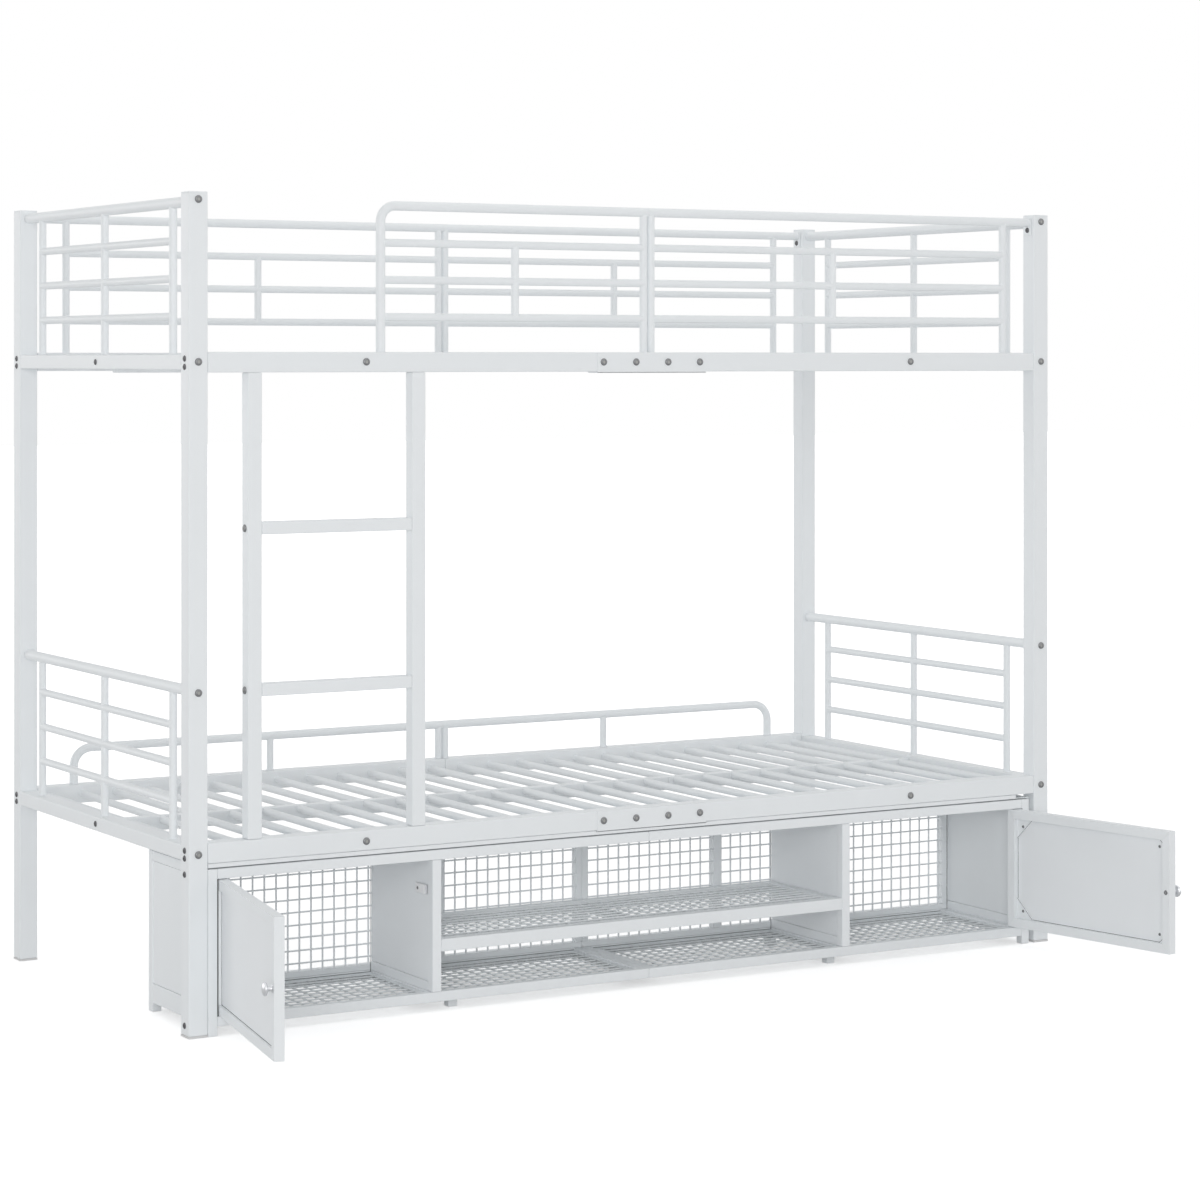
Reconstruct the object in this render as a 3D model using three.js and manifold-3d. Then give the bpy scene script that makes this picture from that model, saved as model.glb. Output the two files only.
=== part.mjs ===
// A white metal bunk bed with a low storage cabinet under its front.
// Millimetres, +Z up, X along the bed, the front faces -Y.
import * as THREE from "three";
import { mergeVertices } from "three/addons/utils/BufferGeometryUtils.js";
import Module from "manifold-3d";

const wasm = await Module();
wasm.setup();

// Driving dimensions of the bed.
const bedLength = 2080;
const bedWidth = 970;
const bedHeight = 1630;
const postSize = 40;
const tubeWall = 1.5;
const tubeCorner = 2.5;
const fitGap = 0.3;

// Glides that plug the posts' open ends.
const glideThickness = 4;
const glideDepth = 16;

// Side rails, the two sleeping levels, and the slats.
const railHeight = 40;
const lowerRailCentre = 354;
const upperRailDrop = 329;
const slatDiameter = 16;
const slatPitch = 78;
const slatEndGap = 20;
const centreRailWidth = 20;
const centreRailHeight = 30;
const centreRailTop = 8;
const centreRailJointX = 333;

// Channels that join the half rails in the middle of the bed, with their bolts.
const spliceBolts = 4;
const spliceEndMargin = 15;
const spliceThickness = 2;
const boltHeadDiameter = 15;
const boltHeadHeight = 3;

// End panels: a top tube, uprights and bars over an end rail.
const endRailHeight = 30;
const endTubeDiameter = 22;
const endTubeRise = 311;
const uprightDiameter = 16;
const endUprightInset = 85;
const barPitch = 74;
const barsPerPanel = 3;

// Guards along the long sides.
const guardTubeDiameter = 19;
const upperGuardRise = 312;
const upperGuardBend = 32;
const climbGap = 380;
const upperGuardUprightInset = 73;
const lowerGuardRise = 98.5;
const lowerGuardBend = 40;
const lowerGuardLegInset = 91;
const lowerGuardUprightInset = 471;
const guardPairOffset = 9;
const tabWidth = 24;
const tabDrop = 28;
const tabThickness = 2.5;

// Ladder on the front, at the left.
const ladderTube = 30;
const ladderPostGap = 84;
const ladderSpan = 357;
const rungHeight = 25;
const rungRises = [309, 624];

// Cabinet: a frame of small tubes on its own feet, pushed against the left posts.
const cabinetTube = 20;
const cabinetEndGap = 13.7;
const cabinetDepth = 300;
const cabinetDrop = 11;
const topSheetLift = 2.6;
const topSheetOverhang = 17;
const topLipEndGaps = { left: 0, right: 37 };
const floorTop = 38;
const sheetWall = 1.5;
const sideLip = 19;
const sideRecess = 2;
const footInset = 36;
const footSetback = 25;
const shelfTop = 143;
const shelfHeight = 25;
const backEndBorder = 15;
const backSeamBorder = 18;
const backBottomBorder = 12;
const backStripInset = 153;
const backStripWidth = 26;
const meshThickness = 3;
const meshWire = 7;
const backMeshPitch = 85;
const floorMeshPitch = 118;
const meshSetback = 1.5;

// Doors, hung on upright rods at the cabinet's outer ends, shown standing open.
const doorWidth = 460;
const doorTube = 20;
const doorEndGap = 1.5;
const doorHingeGap = 4;
const doorFreeGap = 2;
const doorEdgeToAxis = 10.3;
const doorOpenAngle = 100.5;
const doorSheetThickness = 1.2;
const doorSheetDepth = 6;
const hingeGussetLeg = 44;
const freeGussetLeg = 16;
const gussetThickness = 2;
const rodDiameter = 6;
const rodClearance = 0.4;
const rodSeat = 12;
const knobDiameter = 26;
const knobHeight = 20;
const knobStemDiameter = 10;
const knobFootFlare = 2;

// Magnetic catches on the dividers.
const catchLength = 40;
const catchHeight = 18.5;
const catchDepth = 8;
const catchCentreZ = 242;
const catchToDoor = 2;

// Facets of round tubes.
const slatSides = 6;
const barSides = 8;
const tubeSides = 10;
const bendSteps = 5;
const cornerSteps = 2;

// Places that follow from the sizes above.
const halfLength = bedLength / 2;
const halfWidth = bedWidth / 2;
const postInnerX = halfLength - postSize;
const postInnerY = halfWidth - postSize;
const postMiddleX = halfLength - postSize / 2;
const postMiddleY = halfWidth - postSize / 2;
const frontY = -halfWidth;
const upperRailCentre = bedHeight - upperRailDrop;
const endUprightY = postInnerY - endUprightInset;
const overlap = 1;

// Slats go out from the middle of the bed as far as the room before the posts allows.
const slatsPerRow = Math.floor((postInnerX - slatEndGap) / slatPitch + 0.5);
const spliceLength = (spliceBolts - 1) * slatPitch + 2 * spliceEndMargin;
const boltSteps = Array.from({ length: spliceBolts }, (_, index) => index - (spliceBolts - 1) / 2);

const whiteSteel = new THREE.MeshStandardMaterial({ color: 0xf1f1ee, roughness: 0.45, metalness: 0 });
const whitePlastic = new THREE.MeshStandardMaterial({ color: 0xe6e6e2, roughness: 0.6, metalness: 0 });
const bareSteel = new THREE.MeshStandardMaterial({ color: 0x9a9a9c, roughness: 0.35, metalness: 1 });
const palePlastic = new THREE.MeshStandardMaterial({ color: 0xdedede, roughness: 0.5, metalness: 0 });

// A closed mesh as a solid that can be joined and cut.
function solidOf(geometry) {
  const bare = geometry.clone();
  bare.deleteAttribute("normal");
  bare.deleteAttribute("uv");
  const merged = mergeVertices(bare, 1e-4);
  const mesh = new wasm.Mesh({
    numProp: 3,
    vertProperties: new Float32Array(merged.attributes.position.array),
    triVerts: new Uint32Array(merged.index.array),
  });
  return new wasm.Manifold(mesh);
}

// The mesh of a joined or cut solid.
function geometryOf(solid) {
  const mesh = solid.getMesh();
  const geometry = new THREE.BufferGeometry();
  geometry.setAttribute("position", new THREE.BufferAttribute(mesh.vertProperties, 3));
  geometry.setIndex(new THREE.BufferAttribute(mesh.triVerts, 1));
  geometry.computeVertexNormals();
  return geometry;
}

function fuse(geometries) {
  return geometries.map(solidOf).reduce((whole, piece) => whole.add(piece));
}

// A box whose corners are set outright, so that boxes that share a face share its numbers.
function block(x, y, z) {
  const low = [Math.min(...x), Math.min(...y), Math.min(...z)];
  const high = [Math.max(...x), Math.max(...y), Math.max(...z)];
  const geometry = new THREE.BoxGeometry(2, 2, 2);
  const corners = geometry.attributes.position.array;
  for (let index = 0; index < corners.length; index++)
    corners[index] = corners[index] < 0 ? low[index % 3] : high[index % 3];
  return geometry;
}

// A rectangle with rounded corners, centred on the origin.
function roundedRectangle(width, height, radius, Kind = THREE.Shape) {
  const points = [];
  for (let corner = 0; corner < 4; corner++) {
    const x = (width / 2 - radius) * (corner === 0 || corner === 3 ? 1 : -1);
    const y = (height / 2 - radius) * (corner < 2 ? 1 : -1);
    for (let step = 0; step <= cornerSteps; step++) {
      const angle = (corner + step / cornerSteps) * (Math.PI / 2);
      points.push(new THREE.Vector2(x + radius * Math.cos(angle), y + radius * Math.sin(angle)));
    }
  }
  return new Kind(points);
}

// A square or oblong tube, open at both ends, along "x", "y" or "z".
// The section's first size lies along the next horizontal axis, its second one stands up or follows.
function rectangularTube(axis, centre, from, to, width, height) {
  const outline = roundedRectangle(width, height, tubeCorner);
  const inside = [width - 2 * tubeWall, height - 2 * tubeWall];
  outline.holes.push(roundedRectangle(...inside, tubeCorner - tubeWall, THREE.Path));
  const geometry = new THREE.ExtrudeGeometry(outline, {
    depth: to - from,
    bevelEnabled: false,
  });
  if (axis === "z") return geometry.translate(centre[0], centre[1], from);
  geometry.translate(0, 0, from);
  if (axis === "x") {
    geometry.rotateY(Math.PI / 2);
    geometry.rotateX(Math.PI / 2);
    return geometry.translate(0, centre[0], centre[1]);
  }
  geometry.rotateX(Math.PI / 2);
  geometry.scale(1, -1, 1);
  flipFaces(geometry);
  return geometry.translate(centre[0], 0, centre[1]);
}

// Turns every face round, after a mirroring scale.
function flipFaces(geometry) {
  const position = geometry.attributes.position;
  for (let corner = 0; corner < position.count; corner += 3) {
    for (const axis of ["X", "Y", "Z"]) {
      const kept = position["get" + axis](corner);
      position["set" + axis](corner, position["get" + axis](corner + 1));
      position["set" + axis](corner + 1, kept);
    }
  }
}

// A round bar between two points.
function roundBar(from, to, diameter, sides = tubeSides) {
  const start = new THREE.Vector3(...from);
  const end = new THREE.Vector3(...to);
  const along = end.clone().sub(start);
  const geometry = new THREE.CylinderGeometry(diameter / 2, diameter / 2, along.length(), sides);
  geometry.rotateY(Math.PI / sides);
  const direction = along.clone().normalize();
  geometry.applyQuaternion(new THREE.Quaternion().setFromUnitVectors(new THREE.Vector3(0, 1, 0), direction));
  const middle = start.add(end).multiplyScalar(0.5);
  return geometry.translate(middle.x, middle.y, middle.z);
}

// A quarter circle in an upright plane along X, from the leg's top to the level tube.
class QuarterBend extends THREE.Curve {
  constructor(centre, radius, side) {
    super();
    this.centre = centre;
    this.radius = radius;
    this.side = side;
  }
  getPoint(t, target = new THREE.Vector3()) {
    const angle = (t * Math.PI) / 2;
    const [x, y, z] = this.centre;
    return target.set(x + this.side * this.radius * Math.cos(angle), y, z + this.radius * Math.sin(angle));
  }
}

function bentBar(centre, radius, side, diameter) {
  const circle = new THREE.Shape().absarc(0, 0, diameter / 2, 0, 2 * Math.PI);
  return new THREE.ExtrudeGeometry(circle, {
    steps: bendSteps,
    curveSegments: tubeSides / 2,
    extrudePath: new QuarterBend(centre, radius, side),
  });
}

const bed = new THREE.Group();

function addPart(name, geometry, material = whiteSteel, parent = bed) {
  const mesh = new THREE.Mesh(geometry, material);
  mesh.name = name;
  parent.add(mesh);
}

const ends = [["left", -1], ["right", 1]];
const sides = [["front", -1], ["rear", 1]];
const levels = [["lower", lowerRailCentre], ["upper", upperRailCentre]];

// Corner posts and the glides under them.
for (const [end, alongX] of ends) {
  for (const [side, alongY] of sides) {
    const x = alongX * postMiddleX;
    const y = alongY * postMiddleY;
    const tube = rectangularTube("z", [x, y], glideThickness, bedHeight - tubeWall, postSize, postSize);
    const cap = new THREE.ExtrudeGeometry(roundedRectangle(postSize, postSize, tubeCorner), {
      depth: tubeWall + overlap,
      bevelEnabled: false,
    }).translate(x, y, bedHeight - tubeWall - overlap);
    addPart(`post_${side}_${end}`, geometryOf(fuse([tube, cap])));
    const plug = postSize / 2 - tubeWall - fitGap;
    const flange = block([x - postSize / 2, x + postSize / 2], [y - postSize / 2, y + postSize / 2],
      [0, glideThickness - fitGap]);
    const stem = block([x - plug, x + plug], [y - plug, y + plug], [0, glideDepth]);
    addPart(`glide_${side}_${end}`, geometryOf(fuse([flange, stem])), whitePlastic);
  }
}

// Half side rails with the slats that are welded to them, and the channels that join them.
for (const [level, centreZ] of levels) {
  for (const [side, alongY] of sides) {
    for (const [end, alongX] of ends) {
      const railEnds = [alongX * (fitGap / 2), alongX * (postInnerX - fitGap)].sort((a, b) => a - b);
      const railCentre = [alongY * postMiddleY, centreZ];
      const pieces = [rectangularTube("x", railCentre, ...railEnds, railHeight, railHeight)];
      for (let index = 0; index < slatsPerRow; index++) {
        const x = alongX * slatPitch * (index + 0.5);
        const inner = [x, alongY * (centreRailWidth / 2 + fitGap), centreZ];
        const outer = [x, alongY * (postInnerY + overlap), centreZ];
        pieces.push(roundBar(inner, outer, slatDiameter, slatSides));
      }
      addPart(`${level}_${side}_rail_${end}`, geometryOf(fuse(pieces)));
    }
    const face = alongY * (halfWidth + fitGap);
    const outside = face + alongY * spliceThickness;
    const underside = centreZ - railHeight / 2 - fitGap;
    const spliceX = [-spliceLength / 2, spliceLength / 2];
    const splice = [
      block(spliceX, [face, outside], [underside - spliceThickness, centreZ + railHeight / 2]),
      block(spliceX, [alongY * postInnerY, outside], [underside - spliceThickness, underside]),
    ];
    for (const step of boltSteps) {
      const x = step * slatPitch;
      const head = outside + alongY * boltHeadHeight;
      const shank = [x, outside - alongY * overlap, centreZ];
      splice.push(roundBar(shank, [x, head, centreZ], boltHeadDiameter));
    }
    addPart(`${level}_${side}_splice`, geometryOf(fuse(splice)));
  }
  const top = centreZ + centreRailTop;
  const middleZ = top - centreRailHeight / 2;
  const runs = [
    ["left", -postInnerX + fitGap, centreRailJointX - fitGap / 2],
    ["right", centreRailJointX + fitGap / 2, postInnerX - fitGap],
  ];
  for (const [end, from, to] of runs) {
    const rail = rectangularTube("x", [0, middleZ], from, to, centreRailWidth, centreRailHeight);
    addPart(`${level}_centre_rail_${end}`, rail);
  }
}

// End panels, each one welded frame between two posts.
for (const [level, centreZ] of levels) {
  for (const [end, alongX] of ends) {
    const x = alongX * postMiddleX;
    const reach = postInnerY - fitGap;
    const tubeZ = centreZ + endTubeRise;
    const railTop = centreZ + endRailHeight / 2;
    const pieces = [
      rectangularTube("y", [x, centreZ], -reach, reach, postSize, endRailHeight),
      roundBar([x, -reach, tubeZ], [x, reach, tubeZ], endTubeDiameter),
    ];
    for (const y of [-endUprightY, 0, endUprightY])
      pieces.push(roundBar([x, y, railTop - overlap], [x, y, tubeZ], uprightDiameter, barSides));
    for (let bar = 1; bar <= barsPerPanel; bar++) {
      const z = tubeZ - bar * barPitch;
      pieces.push(roundBar([x, -endUprightY, z], [x, endUprightY, z], uprightDiameter, barSides));
    }
    addPart(`${level}_end_panel_${end}`, geometryOf(fuse(pieces)));
  }
}

// A guard's level tube, which ends on the post in a tab or bends down to the rail.
function guardTop(y, z, outerX, side, bend, footZ) {
  if (bend === 0) {
    const end = side * (postInnerX - fitGap);
    return [
      roundBar([side * (fitGap / 2), y, z], [end, y, z], guardTubeDiameter),
      block([end, end - side * tabThickness], [y - tabWidth / 2, y + tabWidth / 2],
        [z - tabDrop, z + guardTubeDiameter / 2]),
    ];
  }
  const turnX = outerX - side * bend;
  return [
    roundBar([side * (fitGap / 2), y, z], [turnX + side * overlap, y, z], guardTubeDiameter),
    bentBar([turnX, y, z - bend], bend, side, guardTubeDiameter),
    roundBar([outerX, y, footZ], [outerX, y, z - bend + overlap], guardTubeDiameter),
  ];
}

const upperRailTop = upperRailCentre + railHeight / 2;
const lowerRailTop = lowerRailCentre + railHeight / 2;
const upperGuardUprightX = postInnerX - upperGuardUprightInset;
for (const [side, alongY] of sides) {
  for (const [end, alongX] of ends) {
    const y = alongY * postMiddleY;
    const z = upperRailCentre + upperGuardRise;
    const foot = upperRailTop + fitGap;
    const bent = side === "front" && end === "left";
    const outerX = bent ? climbGap - postInnerX : alongX * upperGuardUprightX;
    const innerX = alongX * guardPairOffset;
    const pieces = guardTop(y, z, outerX, alongX, bent ? upperGuardBend : 0, foot);
    pieces.push(roundBar([innerX, y, foot], [innerX, y, z], uprightDiameter, barSides));
    if (!bent) pieces.push(roundBar([outerX, y, foot], [outerX, y, z], uprightDiameter, barSides));
    for (let bar = 1; bar <= barsPerPanel; bar++) {
      const barZ = z - bar * barPitch;
      pieces.push(roundBar([innerX, y, barZ], [outerX, y, barZ], uprightDiameter, barSides));
    }
    const middleX = (innerX + outerX) / 2;
    pieces.push(roundBar([middleX, y, z - barsPerPanel * barPitch], [middleX, y, z - barPitch],
      uprightDiameter, barSides));
    addPart(`upper_${side}_guard_${end}`, geometryOf(fuse(pieces)));
  }
}
const lowerGuardLegX = postInnerX - lowerGuardLegInset;
for (const [end, alongX] of ends) {
  const z = lowerRailCentre + lowerGuardRise;
  const foot = lowerRailTop + fitGap;
  const pieces = guardTop(postMiddleY, z, alongX * lowerGuardLegX, alongX, lowerGuardBend, foot);
  for (const offset of [guardPairOffset, lowerGuardLegX - lowerGuardUprightInset]) {
    const x = alongX * offset;
    pieces.push(roundBar([x, postMiddleY, foot], [x, postMiddleY, z], uprightDiameter, barSides));
  }
  addPart(`lower_rear_guard_${end}`, geometryOf(fuse(pieces)));
}

// Ladder between the two front rails.
const ladderY = frontY + ladderTube / 2;
const ladderFoot = lowerRailTop + fitGap;
const ladderHead = upperRailCentre - railHeight / 2 - fitGap;
const ladderLeftX = -postInnerX + ladderPostGap + ladderTube / 2;
const ladderRightX = ladderLeftX + ladderSpan;
for (const [end, x] of [["left", ladderLeftX], ["right", ladderRightX]]) {
  const leg = rectangularTube("z", [x, ladderY], ladderFoot, ladderHead, ladderTube, ladderTube);
  addPart(`ladder_leg_${end}`, leg);
}
rungRises.forEach((rise, index) => {
  const z = lowerRailCentre + rise;
  const from = ladderLeftX + ladderTube / 2 + fitGap;
  const to = ladderRightX - ladderTube / 2 - fitGap;
  const rung = rectangularTube("x", [ladderY, z], from, to, ladderTube, rungHeight);
  addPart(`ladder_rung_${index + 1}`, rung);
});

// Cabinet places.
const cabinetLeft = -postInnerX + fitGap;
const cabinetRight = postInnerX - cabinetEndGap;
const cabinetMiddle = (cabinetLeft + cabinetRight) / 2;
const cabinetBack = frontY + cabinetDepth;
const railUnderside = lowerRailCentre - railHeight / 2;
const cabinetTop = railUnderside - cabinetDrop;
const frameBottom = floorTop - cabinetTube;
const frameTop = cabinetTop - cabinetTube;
const backFrontY = cabinetBack - cabinetTube;

// The dividers stand where the closed doors end, and the feet and the back's strips keep to them.
const doorBay = cabinetTube + doorHingeGap + doorWidth + doorFreeGap;
const dividerOffset = (cabinetRight - cabinetLeft) / 2 - doorBay - cabinetTube / 2;
const footOffset = dividerOffset - footInset;
const backStripOffset = dividerOffset - backStripInset;

// A square tube of the cabinet's frame, drawn filled.
function frameBar(x, y, z) {
  return block(x, y, z);
}

// The middles of evenly spread wires that cover a run, one on either end of it.
function wirePlaces(run, pitch) {
  const [from, to] = [Math.min(...run), Math.max(...run)];
  const steps = Math.max(1, Math.round((to - from) / pitch));
  return Array.from({ length: steps + 1 }, (_, index) => from + (index * (to - from)) / steps);
}

function wireBand(middle) {
  return [middle - meshWire / 2, middle + meshWire / 2];
}

function intoFrame(run) {
  return [Math.min(...run) - overlap, Math.max(...run) + overlap];
}

// Flat crossed wires of one thickness, level or upright, as bands to be joined.
function levelNet(x, y, top, pitch) {
  const z = [top - meshThickness, top];
  return [
    ...wirePlaces(x, pitch).map((place) => block(wireBand(place), intoFrame(y), z)),
    ...wirePlaces(y, pitch).map((place) => block(intoFrame(x), wireBand(place), z)),
  ];
}

function uprightNet(x, z, front, pitch) {
  const y = [front, front + meshThickness];
  return [
    ...wirePlaces(x, pitch).map((place) => block(wireBand(place), y, intoFrame(z))),
    ...wirePlaces(z, pitch).map((place) => block(intoFrame(x), y, wireBand(place))),
  ];
}

function rodHole(x, from, to) {
  const y = frontY + doorTube / 2;
  return solidOf(roundBar([x, y, from], [x, y, to], rodDiameter + 2 * rodClearance));
}

const axisInset = doorHingeGap + doorEdgeToAxis;
const hingeX = {
  left: cabinetLeft + cabinetTube + axisInset,
  right: cabinetRight - cabinetTube - axisInset,
};

for (const [end, alongX] of ends) {
  const outerX = end === "left" ? cabinetLeft : cabinetRight;
  const innerX = outerX - alongX * cabinetTube;
  const frontLeg = [frontY, frontY + cabinetTube];
  const rearLeg = [cabinetBack, cabinetBack - cabinetTube];

  // Side panel: two legs, rails between them and a sheet set a little inwards.
  const between = [frontY + cabinetTube - overlap, cabinetBack - cabinetTube + overlap];
  const bottomRail = [frameBottom, floorTop + sideLip];
  addPart(`cabinet_side_${end}`, geometryOf(fuse([
    frameBar([outerX, innerX], frontLeg, [0, cabinetTop]),
    frameBar([outerX, innerX], rearLeg, [0, cabinetTop]),
    frameBar([outerX, innerX], between, [frameTop, cabinetTop]),
    frameBar([outerX, innerX], between, bottomRail),
    frameBar([outerX - alongX * sideRecess, innerX], between, [floorTop, frameTop + overlap]),
  ])));

  // Divider: a folded sheet box between the floor and the top frame, open at its back.
  const dividerX = cabinetMiddle + alongX * dividerOffset;
  const dividerSides = [dividerX - cabinetTube / 2, dividerX + cabinetTube / 2];
  const dividerZ = [floorTop + fitGap, frameTop - fitGap];
  const shell = solidOf(block(dividerSides, [frontY, backFrontY - fitGap], dividerZ));
  const hollow = solidOf(block(
    [dividerSides[0] + sheetWall, dividerSides[1] - sheetWall],
    [frontY + sheetWall, backFrontY],
    [dividerZ[0] + sheetWall, dividerZ[1] - sheetWall],
  ));
  addPart(`cabinet_divider_${end}`, geometryOf(shell.subtract(hollow)));

  // Half frames of the top, the floor and the back, which meet in the middle.
  const run = [innerX - alongX * fitGap, cabinetMiddle + alongX * (fitGap / 2)];
  const seamBar = [run[1], run[1] + alongX * cabinetTube];
  const endBar = [run[0], run[0] - alongX * cabinetTube];
  const fullDepth = [frontY, cabinetBack];
  const topZ = [frameTop, cabinetTop];
  const floorZ = [frameBottom, floorTop];

  // A sheet closes the top. It stands on a rim behind the frame's outer faces, over a dark slot.
  const sheetRun = [outerX, run[1]];
  const sheetZ = [cabinetTop + topSheetLift, cabinetTop + topSheetLift + sheetWall];
  const rimX = [run[0] - alongX * overlap, run[1] + alongX * overlap];
  const rimY = [frontY + topSheetOverhang, cabinetBack - topSheetOverhang];
  const topFrame = fuse([
    frameBar(run, frontLeg, topZ),
    frameBar(run, rearLeg, topZ),
    frameBar(dividerSides, fullDepth, topZ),
    frameBar(seamBar, fullDepth, topZ),
    block(sheetRun, fullDepth, sheetZ),
    block(rimX, [rimY[0], rimY[0] + sheetWall], [cabinetTop - overlap, sheetZ[1]]),
    block(rimX, [rimY[1] - sheetWall, rimY[1]], [cabinetTop - overlap, sheetZ[1]]),
  ]);

  // The sheet's front lip closes the slot under the rail and is notched for the rail's channel.
  const lipX = [outerX - alongX * topLipEndGaps[end], run[1]];
  const lipY = [frontY, frontY + sheetWall];
  const lip = solidOf(block(lipX, lipY, [sheetZ[0], railUnderside - fitGap]));
  const channelRoom = solidOf(block(
    [-spliceLength / 2 - fitGap, spliceLength / 2 + fitGap],
    [lipY[0] - overlap, lipY[1] + overlap],
    [railUnderside - spliceThickness - 2 * fitGap, railUnderside],
  ));
  const topHole = rodHole(hingeX[end], frameTop - overlap, frameTop + rodSeat + overlap);
  const closedTop = topFrame.add(lip.subtract(channelRoom));
  addPart(`cabinet_top_${end}`, geometryOf(closedTop.subtract(topHole)));

  const footX = cabinetMiddle + alongX * footOffset;
  const footSides = [footX - cabinetTube / 2, footX + cabinetTube / 2];
  const floorPieces = [
    frameBar(run, frontLeg, floorZ),
    frameBar(run, rearLeg, floorZ),
    frameBar(endBar, fullDepth, floorZ),
    frameBar(dividerSides, fullDepth, floorZ),
    frameBar(seamBar, fullDepth, floorZ),
    frameBar(footSides, fullDepth, floorZ),
    ...levelNet([endBar[1], seamBar[1]], [frontLeg[1], rearLeg[1]], floorTop - meshSetback, floorMeshPitch),
  ];
  for (const footY of [frontY + footSetback, cabinetBack - footSetback - cabinetTube])
    floorPieces.push(frameBar(footSides, [footY, footY + cabinetTube], [0, frameBottom + overlap]));
  const floor = fuse(floorPieces);
  const floorHole = rodHole(hingeX[end], floorTop - rodSeat, floorTop + overlap);
  addPart(`cabinet_floor_${end}`, geometryOf(floor.subtract(floorHole)));

  const backZ = [floorTop + fitGap, frameTop - fitGap];
  const backEnd = [run[0], run[0] - alongX * backEndBorder];
  const backSeam = [run[1], run[1] + alongX * backSeamBorder];
  const stripX = cabinetMiddle + alongX * backStripOffset;
  addPart(`cabinet_back_${end}`, geometryOf(fuse([
    frameBar(run, rearLeg, [backZ[0], backZ[0] + backBottomBorder]),
    frameBar(run, rearLeg, [backZ[1] - cabinetTube, backZ[1]]),
    frameBar(backEnd, rearLeg, backZ),
    frameBar(backSeam, rearLeg, backZ),
    frameBar([stripX - backStripWidth / 2, stripX + backStripWidth / 2], rearLeg, backZ),
    ...uprightNet([backEnd[1], backSeam[1]], [backZ[0] + backBottomBorder, backZ[1] - cabinetTube],
      backFrontY + meshSetback, backMeshPitch),
  ])));

  // Magnetic catch on the divider, behind the closed door's free edge.
  const catchX = dividerX + alongX * (cabinetTube / 2 + fitGap);
  const catchY = frontY + doorTube + catchToDoor;
  const catchZ = catchCentreZ - catchHeight / 2;
  const body = block([catchX, catchX + alongX * catchDepth], [catchY, catchY + catchLength],
    [catchZ, catchZ + catchHeight]);
  addPart(`door_catch_${end}`, body, palePlastic);
}

// Shelf across the middle compartment.
const shelfX = [
  cabinetMiddle - dividerOffset + cabinetTube / 2 + fitGap,
  cabinetMiddle + dividerOffset - cabinetTube / 2 - fitGap,
];
const shelfZ = [shelfTop - shelfHeight, shelfTop];
const shelfBack = backFrontY - fitGap;
const shelfNetX = [shelfX[0] + cabinetTube, shelfX[1] - cabinetTube];
const shelfNetY = [frontY + cabinetTube, shelfBack - cabinetTube];
addPart("cabinet_shelf", geometryOf(fuse([
  frameBar(shelfX, [frontY, frontY + cabinetTube], shelfZ),
  frameBar(shelfX, [shelfBack - cabinetTube, shelfBack], shelfZ),
  frameBar([shelfX[0], shelfX[0] + cabinetTube], [frontY, shelfBack], shelfZ),
  frameBar([shelfX[1] - cabinetTube, shelfX[1]], [frontY, shelfBack], shelfZ),
  ...levelNet(shelfNetX, shelfNetY, shelfTop - meshSetback, floorMeshPitch),
])));

// How far up the knob its foot, neck, rim and face lie, and the face's width, as shares of its size.
const knobShares = { foot: 0.15, neck: 0.4, rimLow: 0.6, rimHigh: 0.78, face: 0.95, faceWidth: 0.75 };

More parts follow.
